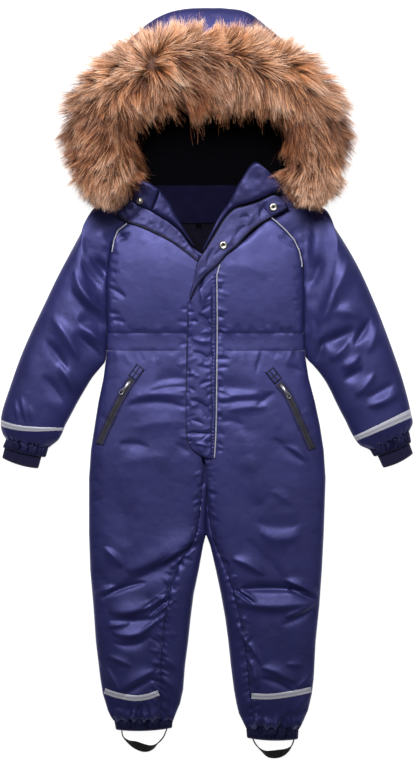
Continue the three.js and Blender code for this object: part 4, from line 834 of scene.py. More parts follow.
def build_front():
    for side in SIDES:
        zip_line = CENTRE_FRONT if side == "left" else CENTRE_FRONT + GAP
        columns = {side: outer_edge[side], OTHER[side]: lambda y, at=zip_line: np.full(np.shape(y), at)}
        top = lookup(CHEST_TOP, "out", side)
        chest_top = lambda u, top=top, side=side: top(1 - u if side == "left" else u)
        x, y = plan_grid(columns["left"], columns["right"], chest_top, level(WAIST_TOP + GAP / 2), PITCH)
        body_piece("chest_", side, front_panel_of(x, y, CHEST_SEWN))
        band = (level(WAIST_TOP - GAP / 2), level(WAIST_BOTTOM + GAP / 2))
        x, y = plan_grid(columns["left"], columns["right"], *band, PITCH)
        body_piece("front_waistband_", side, front_panel_of(x, y, BAND_SEWN))
        leg = {side: outer_edge[side], OTHER[side]: front_inner[side]}
        ends = (level(WAIST_BOTTOM - GAP / 2), level(HEM_TOP[side]))
        x, y = plan_grid(leg["left"], leg["right"], *ends, PITCH)
        face = over_elastic(front_panel_of(x, y, {"top": 0.15, OTHER[side]: 0.9}), side)
        body_piece("front_leg_", side, face)
        gusset = {
            side: lambda y, side=side: front_inner[side](y) + INWARD[side] * GAP,
            OTHER[side]: lambda y, side=side: inner_edge(side, y) - INWARD[side] * GAP / 2,
        }
        ends = (level(GUSSET_TOP[side]), level(HEM_TOP[side]))
        x, y = plan_grid(gusset["left"], gusset["right"], *ends, PITCH)
        face = over_elastic(front_panel_of(x, y, {"top": 0.9, side: 0.9}), side)
        body_piece("inner_leg_", side, face)


def front_panel_of(x, y, sewn):
    """The face of a front panel, drawn down at its sewn edges by the shares given."""
    edges = {"left": x - x[:, :1], "right": x[:, -1:] - x, "top": y[:1] - y, "bottom": y - y[-1:]}
    dip = sum(sewn_dip(edges[edge]) * share for edge, share in sewn.items())
    return stack(x, y, np.maximum(front_top(x, y) - dip, FRONT_LOW + 1.5))


def over_elastic(face, side):
    """A leg's lower end, full above its elastic band and drawn over it in scallops."""
    x, y, z = face[..., 0], face[..., 1], face[..., 2]
    away = y - HEM_TOP[side]
    scallop = 0.5 + 0.5 * np.sin(x * 0.42 + 2.4 * noise(x, 0 * x, 23, 33))
    full = 3.2 * np.exp(-(((away - 9) / 8) ** 2)) * (0.55 + 0.45 * scallop)
    gap = 2.6 * (1 - scallop) * np.exp(-away / 9)
    tuck = 3.4 * np.exp(-((away / 2.4) ** 2))
    drawn = (1.0 + 3.4 * scallop) * np.exp(-away / 7)
    return stack(x, y - drawn, np.maximum(z + full - gap - tuck, FRONT_LOW + 2))


def body_piece(kind, side, face, flat_z=FRONT_LOW):
    name = kind + side
    piece = pad(name, face, flat_z, NYLON, [name])
    return lay(piece, face)


def back_face(x, y, free):
    """The underside of a back panel: flat where it rests, drawn in at seams and rounded up at free sides."""
    edges = {"left": x - x[:, :1], "right": x[:, -1:] - x, "top": y[:1] - y, "bottom": y - y[-1:]}
    nearest = np.minimum.reduce([edges[edge] for edge in edges if edge not in free])
    z = 1.6 * np.exp(-nearest / 5) * (1 + 0.7 * noise(x, y, 9, 31))
    for edge in free:
        z = np.maximum(z, TURN_UP * (1 - dome(edges[edge] / 24)))
    return stack(x, y, np.clip(z, 0, TURN_UP))


def build_back():
    sides = (outer_edge["left"], outer_edge["right"])
    upper = plan_grid(*sides, level(NECK_Y), level(WAIST_TOP + GAP / 2), BACK_PITCH)
    bands = (level(WAIST_TOP - GAP / 2), level(WAIST_BOTTOM + GAP / 2))
    band = plan_grid(*sides, *bands, BACK_PITCH)
    for name, (x, y) in {"back_upper": upper, "back_waistband": band}.items():
        body_piece(name, "", back_face(x, y, []), MID - SLIT / 2)
    for side in SIDES:
        shift = -INWARD[side] * GAP / 2
        inside = lambda y, side=side, shift=shift: inner_edge(side, y) + shift + BACK_SEAM * (y > CROTCH_Y)
        edges = {side: outer_edge[side], OTHER[side]: inside}
        seat = (level(WAIST_BOTTOM - GAP / 2), level(CROTCH_Y + GAP / 2))
        leg = (level(CROTCH_Y - GAP / 2), level(HEM_TOP[side]))
        x, y = plan_grid(edges["left"], edges["right"], *seat, BACK_PITCH)
        body_piece("back_seat_", side, back_face(x, y, [side]), MID - SLIT / 2)
        x, y = plan_grid(edges["left"], edges["right"], *leg, BACK_PITCH)
        body_piece("back_leg_", side, back_face(x, y, ["left", "right"]), MID - SLIT / 2)


# Sleeves, cuffs, hems and foot straps
OVER_COUNT = 56
UNDER_COUNT = 18
SLEEVE_STEPS = 130
# The row at a sleeve tape's outer end, how far it sags and the row's change to its inner end
TAPE_ROW = {"left": (9.9, 0.5, -0.8), "right": (9.9, 0, 0)}
TAPE_ROWS = 0.28
SHOULDER_BOW = 8.0  # how far the shoulder rises between the neck and the sleeve


def tube_places():
    """Places across a flattened tube, over the top from its outer edge to its inner one and back below."""
    over = (1 - np.cos(np.linspace(0, math.pi, OVER_COUNT))) / 2
    under = (1 - np.cos(np.linspace(math.pi, 0, UNDER_COUNT))) / 2
    return np.concatenate([over, under]), np.arange(OVER_COUNT + UNDER_COUNT) < OVER_COUNT


def tube_heights(height, slit_at, t, is_over, relief=0.0):
    edge = np.minimum(height / 2, slit_at)
    round_over = (1 - np.abs(2 * t - 1) ** 2.6) ** 0.55
    over = mix(edge + EDGE, height, round_over) + relief * round_over
    under = (edge - EDGE) * np.clip(1 - 1.35 * np.sqrt(np.clip(1 - (2 * t - 1) ** 4, 0, 1)), 0, 1)
    return np.where(is_over, np.maximum(over, slit_at + 2), under)


def sleeve_plan(side, row, t):
    """A place in plan on a sleeve, by its row and how far across it lies."""
    ox, oy, ix, iy, curve = (by_row(SLEEVE[side][c], row) for c in ("ox", "oy", "ix", "iy", "curve"))
    top_x, top_y, low_x, low_y = (SLEEVE[side][c][0] for c in ("ox", "oy", "ix", "iy"))
    bow = outer_edge[side](mix(top_y, low_y, t)) - mix(top_x, low_x, t)
    shoulder = SHOULDER_BOW * 4 * np.clip(row, 0, 1) * (1 - np.clip(row, 0, 1)) * np.clip(1 - 3 * t, 0, 1)
    return mix(ox, ix, t) + curve * bow - INWARD[side] * ARMHOLE_GAP, mix(oy, iy, t) + shoulder


def sleeve_surface(side, row, t, is_over):
    x, y = sleeve_plan(side, row, t)
    height = by_row(SLEEVE[side]["height"], row)
    slit_at = np.minimum(MID, height / 2)
    relief = soft_relief(x, y) - sewn_dip(row * 26) * 0.8
    end = len(SLEEVE[side]["ox"]) - 1 - row
    scallop = 0.5 + 0.5 * np.sin(t * 46 + 2.2 * np.sin(t * 13 + len(side)))
    relief = relief + (2.4 * scallop - 1.2) * np.exp(-end / 0.6) - 3.0 * np.exp(-end / 0.12)
    last = {c: SLEEVE[side][c][-1] for c in ("ox", "oy", "ix", "iy")}
    ahead = unit(np.array([last["ix"] - last["ox"], last["iy"] - last["oy"]])) * INWARD[side]
    drawn = (0.8 + 3.2 * scallop) * np.exp(-end / 0.35)
    z = tube_heights(height, slit_at, t, is_over, relief)
    return stack(x + ahead[1] * drawn, y - ahead[0] * drawn, z)


def build_sleeves():
    t, is_over = tube_places()
    for side in SIDES:
        row = np.linspace(0, len(SLEEVE[side]["ox"]) - 1, SLEEVE_STEPS)[:, None]
        outer = sleeve_surface(side, row, t, is_over)
        few = row[:: (SLEEVE_STEPS - 1) // 3]
        x, y = sleeve_plan(side, few, np.clip(t, 0.04, 0.96))
        slit_at = np.minimum(MID, by_row(SLEEVE[side]["height"], few) / 2)
        inner = stack(x, y, slit_at + np.where(is_over, SLIT, -SLIT) / 2)
        name = "sleeve_" + side
        lay(tube(name, outer, inner, NYLON, [name]), np.concatenate([outer, outer[:, :1]], 1))
        build_sleeve_tape(side)


def build_sleeve_tape(side):
    t = np.linspace(0.004, 0.996, 80)[None, :]
    across = np.linspace(0, 1, 7)[:, None]
    first, sag, change = TAPE_ROW[side]
    row = first + sag * 4 * t * (1 - t) + change * t + TAPE_ROWS * (2 * across - 1)
    low = sleeve_surface(side, row, t, True) + [0, 0, 0.25]
    high = low + [0, 0, 0.8] - stack(0 * t, 0, 0.5 * (2 * across - 1) ** 8)
    name = "sleeve_tape_" + side
    values = {"across": across + 0 * t}
    piece = slab(name, high, low, REFLECTIVE, [name], values)
    lay(piece, high)


BAND_BOW = 3.0  # how far a band's free end bows out between its two edges
BAND_TUCK = 0.12  # share of a band that is hidden in the cloth above it


def band_tube(name, rows, material, ripple, puff=0.0, inside=2.5):
    """An elastic band or a knitted cuff: a flattened tube with thick walls, from one row to the next."""
    t, is_over = tube_places()
    sign = 1 if rows["ix"][0] > rows["ox"][0] else -1
    s = np.linspace(-BAND_TUCK, 1, 18)[:, None]
    ox, oy, ix, iy, height = (mix(rows[c][0], rows[c][1], s) for c in ("ox", "oy", "ix", "iy", "height"))
    around = np.where(is_over, t, 2 - t) / 2
    swell = puff * np.sin(math.pi * np.clip(s, 0, 1)) ** 0.7
    turned_in = np.clip(2 * s - 1.72, 0, 1) ** 2 * 22
    z = tube_heights(height, height / 2, t, is_over, ripple(s, around) + swell)
    z = mix(z, height / 2, np.clip(turned_in * 0.3, 0, 0.6))
    bend = BAND_BOW * 4 * t * (1 - t) * s * sign
    away = unit(stack(ix - ox, iy - oy, 0 * s))
    short = turned_in * (1 - 2 * t) * 0.8
    x = mix(ox, ix, t) + away[..., 1] * bend + away[..., 0] * short
    y = mix(oy, iy, t) - away[..., 0] * bend + away[..., 1] * short
    outer = stack(x, y, z)
    narrow = mix(t, 0.5, (height - inside) / np.hypot(ix - ox, iy - oy))[:: len(s) - 1]
    ends = [v[:: len(s) - 1] for v in (ox, oy, ix, iy, height)]
    level_z = ends[4] / 2 + np.where(is_over, inside, -inside) / 2
    inner = stack(mix(ends[0], ends[2], narrow), mix(ends[1], ends[3], narrow), level_z)
    shown, hidden = np.broadcast_to(around, z.shape), np.broadcast_to(around, level_z.shape)
    values = {"around": np.concatenate([shown, hidden[::-1]])}
    piece = tube(name, outer, inner, material, [name], values)
    lay(piece, np.concatenate([outer, outer[:, :1]], 1))


def gathers(count, depth, seed):
    """Uneven gathers round an elastic band, deepest between its two stitched edges."""
    shift = np.random.default_rng(seed).uniform(0, TAU, 3)

    def ripple(s, around):
        phase = around * count * TAU + 1.4 * np.sin(around * 31 + shift[0]) + 0.6 * np.sin(6 * s + shift[1])
        return depth * (np.abs(np.sin(phase / 2)) - 0.7) * (0.75 + 0.25 * np.sin(around * 47 + shift[2]))

    return ripple


def build_cuffs_and_hems():
    for k, side in enumerate(SIDES):
        first = {c: CUFFS[side][c][:2] for c in CUFFS[side]}
        second = {c: CUFFS[side][c][2:] for c in CUFFS[side]}
        band_tube("cuff_elastic_" + side, first, NYLON_GATHERS_PAINTED_SHADE, gathers(27, 3.4, 41 + k), 1.2)
        band_tube("cuff_rib_" + side, second, RIB, lambda s, around: 0.35 * np.sin(around * 64 * TAU))
        band_tube("hem_elastic_" + side, HEMS[side], NYLON_GATHERS_PAINTED_SHADE, gathers(31, 3.6, 51 + k), 1.4)


def build_straps():
    """Foot straps of flat elastic that stand on edge and turn over under the foot."""
    for side in SIDES:
        source = STRAPS[side]
        row = np.linspace(0, len(source["x"]) - 1, 90)
        x, y, lean, width = (by_row(source[c], row) for c in ("x", "y", "lean", "width"))
        dx, dy = np.gradient(x), np.gradient(y)
        dx, dy = dx / np.hypot(dx, dy), dy / np.hypot(dx, dy)
        lean = np.radians(lean)
        corner = np.linspace(0, TAU, 24, endpoint=False) + TAU / 48
        half = (width / 2)[:, None]
        thick = 0.9 + 0.6 * np.exp(-(((row - row[-1] / 2) / 1.3) ** 4))[:, None]
        a = half * np.sign(np.cos(corner)) * np.abs(np.cos(corner)) ** 0.25
        b = thick * np.sign(np.sin(corner)) * np.abs(np.sin(corner)) ** 0.6
        sin, cos = np.sin(lean)[:, None], np.cos(lean)[:, None]
        across, up = a * sin + b * cos, a * cos - b * sin
        rise = half * cos + thick * sin + 0.1
        rings = stack(x[:, None] - dy[:, None] * across, y[:, None] + dx[:, None] * across, rise + up)
        values = {"across": (a / half + 1) / 2 + 0 * rings[..., 0]}
        name = "foot_strap_" + side
        piece = loft(name, rings, WEBBING, [name], values)


# Hood
def hood_station(t):
    """A place on the hood's rim, the way out from it and how far its edge is."""
    row = np.asarray(t) * (len(HOOD["ex"]) - 1)
    edge_x, edge_y, x, y = (by_row(HOOD[c], row) for c in ("ex", "ey", "rx", "ry"))
    reach = np.hypot(edge_x - x, edge_y - y)
    return x, y, (edge_x - x) / reach, (edge_y - y) / reach, reach


def hood_face(t, layer, relief):
    """A face of the hood's wall at a share of its thickness."""
    x, y, out_x, out_y, reach = (v[:, None] for v in hood_station(t))
    s = np.linspace(0, len(HOOD_SECTION["share"]) - 1, 34)[None, :]
    share, short, high, in_short, in_high = (by_row(HOOD_SECTION[c], s) for c in HOOD_SECTION)
    away = reach * share - mix(short, in_short, layer)
    z = mix(high, in_high, layer)
    if relief:
        along = t[:, None] * 700
        soft = 1.5 * noise(along, s * 14, 34, 61) + 0.8 * noise(along + 3 * s, s * 10, 13, 62)
        seam = np.exp(-np.minimum(t - t[0], t[-1] - t) * 700 / 4)[:, None]
        z = z + (soft - 2.4 * seam) * np.clip(z - 3, 0, 8) / 8
        away = away + soft * 0.6 * share * np.clip(z - 3, 0, 8) / 8
    return stack(x + out_x * away, y + out_y * away, z)


def flat_piece(name, outline, low, thick, material):
    """A flat piece of cloth with an outline in plan, on a fan of rings so that it can be uneven."""
    middle = outline.mean(0)
    share = np.linspace(1, 0.04, 14)[:, None, None]
    places = middle + (outline - middle) * share
    x, y = places[..., 0], places[..., 1]
    top = low + thick + 0.5 * noise(x, y, 30, 63) * np.clip((1 - share[..., 0]) * 8, 0, 1)
    rings = np.concatenate([stack(x[:1], y[:1], low), stack(x, y, top)])
    piece = loft(name, rings, material, [name])


def build_hood():
    for part, (start, end) in HOOD_SPLITS.items():
        first = start + (0.0002 if start > 0 else 0)
        last = end - (0.0002 if end < 1 else 0)
        t = np.linspace(first, last, round((last - first) * 220))
        outer = hood_face(t, 0, True)
        name = "hood_" + part
        lay(slab(name, outer, hood_face(t, 0.74, False), NYLON, [name]), outer)
    t = np.linspace(0, 1, 120)
    inner = hood_face(t, 0.9, False)
    name = "hood_lining_wall"
    wall = slab(name, inner, hood_face(t, 1.2, False), BLACK_LINING_PAINTED_SHADE, [name])
    lay(wall, inner)
    x, y, out_x, out_y, reach = hood_station(np.linspace(0, 1, 90))
    foot = np.stack([x + out_x * (reach - HOOD_FOOT), y + out_y * (reach - HOOD_FOOT)], -1)
    corners = [np.stack([HOOD_CORNERS[side + "_x"], HOOD_CORNERS[side + "_y"]], -1) for side in SIDES]
    outline = np.concatenate([corners[0], foot, corners[1][::-1]])
    flat_piece("hood_back", outline, 0, HOOD_FLOOR, NYLON)
    facing = HOOD_LINING_Y + GAP
    lining = foot[foot[:, 1] > facing] * [0.96, 0.97] + [0, 0.03 * NECK_Y]
    corners = [[lining[0, 0] * 0.93, facing]], [[lining[-1, 0] * 0.93, facing]]
    outline = np.concatenate([corners[0], lining, corners[1]])
    flat_piece("hood_lining_back", outline, HOOD_FLOOR + GAP, STRIP, BLACK_LINING_PAINTED_SHADE)


# Fur trim
# How the hair lies, by place in plan: the way it points in degrees, its tone from 0, dark brown, to 1,
# cream, and its length as a share of the whole
COMB = table(
    "x y turn tone size",
    (-4, 574, 80, 0.95, 0.5), (-48, 571, 78, 0.92, 0.5), (-99, 554, 105, 0.85, 0.6),
    (-149, 534, 130, 0.9, 0.7), (-193, 500, 158, 0.92, 0.95), (-217, 466, 182, 0.72, 1),
    (-223, 423, 200, 0.4, 1), (-223, 382, 218, 0.1, 0.85), (-200, 348, 238, 0.3, 0.85),
    (-173, 308, 250, 0.42, 0.8), (-158, 284, 250, 0.55, 0.55), (-138, 304, 262, 0.36, 0.4),
    (-112, 330, 335, 0.28, 0.75), (-105, 355, 340, 0.12, 0.85), (-116, 396, 298, 0, 0.75),
    (-109, 423, 280, 0.05, 0.9), (-132, 443, 250, 0.4, 1), (-166, 436, 225, 0.4, 1),
    (-92, 453, 278, 0.36, 1), (-65, 443, 288, 0.1, 0.95), (-48, 470, 312, 0.6, 1),
    (-31, 449, 298, 0.12, 0.8), (-65, 500, 335, 0.8, 0.9), (-109, 513, 120, 0.95, 0.68),
    (-139, 497, 170, 0.95, 0.7), (-18, 507, 315, 0.2, 1), (9, 476, 298, 0.2, 0.85),
    (2, 433, 262, 0.14, 1.0), (36, 534, 80, 0.62, 0.55), (70, 550, 62, 0.9, 0.5),
    (113, 555, 52, 0.88, 0.7), (154, 527, 38, 0.92, 0.95), (187, 493, 18, 0.9, 1),
    (211, 460, 355, 0.72, 1), (231, 409, 330, 0.26, 0.75), (218, 375, 312, 0.12, 0.75),
    (53, 500, 310, 0.22, 0.95), (36, 449, 280, 0.12, 0.62), (70, 449, 282, 0.16, 0.62),
    (103, 470, 300, 0.6, 0.85), (154, 476, 328, 0.8, 1), (130, 436, 298, 0.28, 0.9),
    (154, 396, 284, 0.08, 0.75), (187, 402, 300, 0.14, 0.9), (120, 375, 245, 0, 0.6),
    (126, 338, 195, 0.12, 0.85), (148, 304, 262, 0.32, 0.42), (187, 325, 298, 0.34, 0.8),
    (211, 315, 312, 0.5, 0.8), (181, 284, 275, 0.5, 0.55), (-170, 380, 225, 0, 0.9),
    (-140, 360, 290, 0.16, 0.8), (165, 355, 285, 0, 0.85), (200, 345, 300, 0.28, 0.9),
    (-30, 540, 85, 0.78, 0.5), (-75, 535, 95, 0.9, 0.55), (-115, 498, 200, 1, 0.6),
    (90, 525, 60, 0.8, 0.55),
)
COMB_REACH = 19.0  # how far a row of the comb is felt
FUR_MIDDLE = 78.0  # height of the middle of the pelt's roll
FUR_CORE = 0.52  # the pelt's half width, as a share of the whole fur's
FUR_CORE_HEIGHT = 27.0
LOCKS = 5200
SEED_FUR = 70
HAIRS = 12
HAIR_STEPS = 4
FUR_PIECES = 4


def fur_spine(t):
    """Points of the fur's line, its direction, the way out from it and its half width."""
    row = t * (len(FUR_LINE["x"]) - 1)
    x, y, half = (by_row(FUR_LINE[c], row) for c in ("x", "y", "half"))
    steps = [by_row(FUR_LINE[c], row + 0.05) - by_row(FUR_LINE[c], row - 0.05) for c in ("x", "y")]
    ahead = np.stack(steps, -1)
    ahead = ahead / np.linalg.norm(ahead, axis=-1, keepdims=True)
    out = np.stack([-ahead[..., 1], ahead[..., 0]], -1)
    half = half * dome(np.minimum(t, 1 - t) * 12 + 0.12) ** 0.5
    return np.stack([x, y], -1), ahead, out, half


def fur_surface(t, angle):
    """A place on the pelt, the way straight off it, and the way round it away from the parting."""
    place, _, out, half = fur_spine(t)
    end = dome(np.minimum(t, 1 - t) * 12 + 0.12)
    wide, tall = half * FUR_CORE, FUR_CORE_HEIGHT * end
    cos, sin = np.cos(angle), np.sin(angle)
    across, up = wide * cos, FUR_MIDDLE * (0.72 + 0.28 * end) + tall * sin
    spot = np.concatenate([place + out * across[..., None], up[..., None]], -1)
    off_across, off_up = cos / wide, sin / tall
    size = np.hypot(off_across, off_up)
    off = np.concatenate([out * (off_across / size)[..., None], (off_up / size)[..., None]], -1)
    round_across, round_up = wide * sin, -tall * cos
    size = np.hypot(round_across, round_up)
    around = np.concatenate([out * (round_across / size)[..., None], (round_up / size)[..., None]], -1)
    return spot, off, around


def unit(v):
    return v / np.maximum(np.linalg.norm(v, axis=-1, keepdims=True), 1e-9)


def combed(x, y):
    """The way the hair lies, its tone and its size at places in plan, from the comb's nearest rows."""
    away = (x[:, None] - COMB["x"]) ** 2 + (y[:, None] - COMB["y"]) ** 2
    weight = np.exp(-away / (2 * COMB_REACH**2)) + 1e-9
    weight = weight / weight.sum(1, keepdims=True)
    turn = np.radians(COMB["turn"])
    return weight @ np.cos(turn), weight @ np.sin(turn), weight @ COMB["tone"], weight @ COMB["size"]


def hair_paths(t, angle, length):
    """Hairs that leave the pelt and bend over the way the comb lays them there."""
    spot, off, _ = fur_surface(t, angle)
    along_x, along_y, _, _ = combed(spot[:, 0], spot[:, 1])
    turn = 0.5 * noise(spot[:, 0], spot[:, 1], 30, 71) + 0.55 * noise(spot[:, 0], spot[:, 1], 11, 72)
    cos, sin = np.cos(turn), np.sin(turn)
    flow = np.stack([along_x * cos - along_y * sin, along_x * sin + along_y * cos, 0 * t], -1)
    strength = np.linalg.norm(flow, axis=1, keepdims=True)
    flow = flow / np.maximum(strength, 0.6)
    upright = np.clip(1 - strength / 0.5, 0, 1)
    flow = flow - off * np.minimum((flow * off).sum(-1), 0)[:, None]
    start = unit(off + flow * 0.5)
    droop = np.array([0, 0, -0.3])
    laid = flow + off * (0.12 + 0.6 * upright) + droop * (1 - upright)
    points = [spot - off * 3]
    for k in range(HAIR_STEPS):
        bend = ease((k + 0.4) / (HAIR_STEPS - 0.5))
        heading = unit(start * (1 - bend) + laid * bend)
        points.append(points[-1] + heading * (length / HAIR_STEPS)[:, None])
    return np.stack(points, 1), off, upright[:, 0]


def build_fur():
    rng = np.random.default_rng(SEED_FUR)
    t = rng.uniform(0.003, 0.997, LOCKS)
    angle = np.radians(rng.uniform(-50, 230, LOCKS))
    spot, _, _ = fur_surface(t, angle)
    size = 55 * (1 + 0.18 * noise(spot[:, 0], spot[:, 1], 36, 73)) * rng.uniform(0.65, 1.12, LOCKS)
    size = size * (fur_spine(t)[3] / 70) ** 0.7 * combed(spot[:, 0], spot[:, 1])[3]
    lead, _, upright = hair_paths(t, angle, size)
    lock = np.repeat(np.arange(LOCKS), HAIRS)
    count = len(lock)
    child_t = np.clip(t[lock] + rng.normal(0, 0.0034, count), 0, 1)
    child_angle = angle[lock] + rng.normal(0, 0.09, count)
    guard = rng.uniform(size=count) < 0.08
    reach = rng.uniform(0.78, 1.12, count) * np.where(guard, 1.36, 1)
    paths, off, _ = hair_paths(child_t, child_angle, size[lock] * reach)
    k = np.arange(HAIR_STEPS + 1) / HAIR_STEPS
    loose = guard | (rng.uniform(size=count) < 0.18)
    gather = np.where(loose, 0.1, 0.6)[:, None, None] * (k**0.9)[None, :, None]
    paths = mix(paths, lead[lock], gather)
    paths = paths + rng.normal(0, 1, (count, 1, 3)) * (2.0 * k**1.4)[None, :, None]
    paths[..., 2] = np.clip(paths[..., 2], 1.0, 146.0)
    heading = unit(np.gradient(paths, axis=1))
    flat = unit(np.cross(heading, off[:, None, :] + 0.35 * rng.normal(0, 1, (count, 1, 3))))
    width = np.interp(k, [0, 0.5, 0.85, 1], [0.72, 0.64, 0.36, 0.06]) * rng.uniform(0.6, 1.2, (count, 1))
    width = width * np.where(guard, 0.7, 1)[:, None]
    left, right = paths + flat * width[..., None] / 2, paths - flat * width[..., None] / 2
    points = np.stack([left, right], 2)
    # Painted shade: hairs on the inner and lower side of the pelt's roll, towards the hood's opening, are
    # darkened.
    under = ease((-np.cos(angle) - 0.55) / 0.4)
    # Painted highlight and shade: hairs near their lock's middle are lighter, those further off it darker.
    inside = np.linalg.norm(paths[:, 2] - lead[lock, 2], axis=1)
    tone = tone_of_fur(lead[:, 3, :2], lock, guard, rng) - 0.45 * under[lock] + 0.25 * (1 - inside / 3)
    tone = np.clip(tone, 0, 1)
    per = (HAIR_STEPS + 1) * 2
    quads = np.stack([np.array([0, 1, 3, 2]) + 2 * s for s in range(HAIR_STEPS)])
    order = np.argsort(child_t, kind="stable")
    for piece, hairs in enumerate(np.array_split(order, FUR_PIECES)):
        faces = (np.arange(len(hairs))[:, None, None] * per + quads[None]).reshape(-1, 4)
        shape = (len(hairs), HAIR_STEPS + 1, 2)
        values = {
            "along": np.broadcast_to(mix(k, 1, 0.6 * upright[lock[hairs], None])[..., None], shape),
            "tone": np.broadcast_to(tone[hairs][:, None, None], shape),
        }
        name = f"fur_hair_{piece + 1}"
        mesh = make_mesh(name, points[hairs].reshape(-1, 3), [faces], values)
        add_piece(name, mesh, FUR, sharp=0)
    build_pelt()


def tone_of_fur(place, lock, guard, rng):
    """From 0, dark brown, to 1, cream: the comb's tone, uneven from lock to lock and from hair to hair."""
    x, y = place[:, 0], place[:, 1]
    _, _, tone, _ = combed(x, y)
    tone = tone + 0.34 * noise(x, y, 24, 74) + 0.22 * noise(x, y, 9, 75)
    tone = tone + rng.normal(0, 0.2, LOCKS)
    each = tone[lock] + rng.normal(0, 0.24, len(lock))
    each = np.where(guard, np.where(rng.uniform(size=len(lock)) < 0.5, 0.0, 1.0), each)
    return np.clip(each, 0, 1)


def build_pelt():
    """The pelt's roll under the hair, dark like the hair's roots."""
    t = np.linspace(0, 1, 120)
    angle = np.linspace(0, TAU, 28, endpoint=False)
    spot, off, _ = fur_surface(*np.meshgrid(t, angle, indexing="ij"))
    spot = spot + off * (1.5 * noise(spot[..., 0], spot[..., 1], 12, 76))[..., None]
    values = {"along": np.full(spot.shape[:2], 0.3), "tone": np.full(spot.shape[:2], 0.4)}
    pelt = loft("fur_pelt", spot, FUR, ["fur_trim"], values)


# Neck, collar and closing
def strip_places(source, along, across):
    """Places between two edge lines, with how far along and how far over each lies."""
    t = np.linspace(0, 1, along)[:, None]
    v = np.linspace(0, 1, across)[None, :]
    row = t * (len(source["lx"]) - 1)
    x = mix(by_row(source["lx"], row), by_row(source["ux"], row), v)
    y = mix(by_row(source["ly"], row), by_row(source["uy"], row), v)
    return x, y, t + 0 * v, v + 0 * t


def laid_on(x, y):
    return front_top(x, y) + LIFT


def from_edges(grid):
    """How far each point of a grid lies from the grid's nearest edge, in plan."""
    down = np.linalg.norm(np.diff(grid[..., :2], axis=0), axis=2)
    over = np.linalg.norm(np.diff(grid[..., :2], axis=1), axis=2)
    none_down, none_over = np.zeros((1, grid.shape[1])), np.zeros((grid.shape[0], 1))
    top = np.concatenate([none_down, np.cumsum(down, 0)])
    left = np.concatenate([none_over, np.cumsum(over, 1)], 1)
    return np.minimum.reduce([top, top[-1:] - top, left, left[:, -1:] - left])


def puffed(low, thick, edge_thick, soft, relief=0.0):
    """The upper face over a lower one: thin at its edges and full inside, with its own relief."""
    full = dome(from_edges(low) / soft)
    return low + stack(0 * full, 0, mix(edge_thick, thick, full) + relief * full)


def strip(name, source, height, along, across, thick, edge_thick=None, soft=4.0, relief=None, **looks):
    """A piece of cloth between two edge lines, on heights that a function gives."""
    x, y, t, v = strip_places(source, along, across)
    low = stack(x, y, height(x, y, t, v))
    own = relief(x, y) if relief else 0.0
    high = puffed(low, thick, thick if edge_thick is None else edge_thick, soft, own)
    material, slot = looks.get("material", NYLON), looks.get("slot", "nylon")
    piece = slab(name, high, low, material, looks.get("nodes", [name]), looks.get("values"))
    if looks.get("is_sheet", True):
        lay(piece, high)
    return piece


def cord(name, line, radius, material, nodes=(), sides=10):
    """A round cord through points."""
    ahead = unit(np.gradient(line, axis=0))
    side = unit(np.cross([0, 0, 1], ahead))
    up = np.cross(ahead, side)
    angle = np.linspace(0, TAU, sides, endpoint=False)
    ring = side[:, None] * np.cos(angle)[None, :, None] + up[:, None] * np.sin(angle)[None, :, None]
    return loft(name, line[:, None] + ring * radius, material, nodes)


def edge_line(source, upper, along, inset=0.0):
    """Places on one edge line of a strip, moved in from it."""
    x, y, _, _ = strip_places(source, along, 3)
    edge, other = (2, 0) if upper else (0, 2)
    wide = np.hypot(x[:, edge] - x[:, other], y[:, edge] - y[:, other])
    return tuple(mix(c[:, edge], c[:, other], inset / wide) for c in (x, y))


NECK_SEAT = MID + GAP + STRIP + GAP
CHIN_THICK = 8.0
FLAP_RAISE = 3.2
FLAP_THICK = 2.0
FLAP_PUFF = 3.0
PLACKET_RAISE = 2.0
PLACKET_STITCH = 8.0  # where its stitch line lies


def rise_after(start, t):
    return np.maximum(0, t - start) / (1 - start)


def flap_low(x, y, *_):
    return laid_on(x, y) + FLAP_RAISE


def placket_low(x, y, t, v):
    return laid_on(x, y) + PLACKET_RAISE * np.minimum(1, 4 * v * (1 - v))


def chin_left_low(x, y, t, v):
    return 24 + 4 * v + 1.5 * t


PLACKET_WRINKLES = joined(
    [
        wrinkles_along(lambda t: (np.full(t.shape, -32.0), mix(128, -100, t)), 22, 17, 15, 1.3, 2.8, 81),
        wrinkles_along(lambda t: (np.full(t.shape, 8.0), mix(150, -112, t)), 205, 22, 19, 1.5, 2.6, 82),
        wrinkles_along(lambda t: (mix(-26, 8, t), mix(-104, -118, t)), 95, 5, 12, 1.0, 3.0, 83),
        table(
            FOLD_COLUMNS,
            (-24, 50, 8, 30, 2, 4, 5, -2.6), (-13, -5, 8, 1, 1, 3, 4, -2.2),
            (-28, -26, 8, -56, 3, 5, 8, -3.2),
            (-33, -83, 8, -83, 1, 2, 3, -2.0), (-27, -60, -4, -68, 1, 3, 3, -1.6),
            (-14, 110, 8, 80, 2, 4, 6, -3.0),
            (-26, 98, -14, 96, 0, 3, 3, -2.0), (-12, 150, -6, 118, 2, 5, 4, 2.0),
            (-32, 14, -12, 8, 1, 3, 3, 1.6),
            (-30, -42, -8, -36, 2, 5, 3, 2.0), (-24, 70, 6, 62, -2, 6, 4, 1.8),
            (-20, -98, 6, -104, 1, 4, 3, 1.4),
            (-30, -8, -18, -14, 0, 2, 3, -1.6), (-16, 26, 8, 18, 1, 3, 4, -1.6),
        ),
    ]
)


def placket_relief(x, y):
    """Puckers at both long edges of the placket and the groove of its stitching."""
    stitch = -1.3 * np.exp(-(((x - PLACKET_STITCH) / 1.3) ** 2))
    edge = 0.7 * np.sin(y * 1.15 + 2.2 * noise(x * 0, y, 17, 84)) * np.clip((x - PLACKET_STITCH) / 2, 0, 1)
    return fold_sum(x, y, PLACKET_WRINKLES) + stitch * (y < 150) + edge


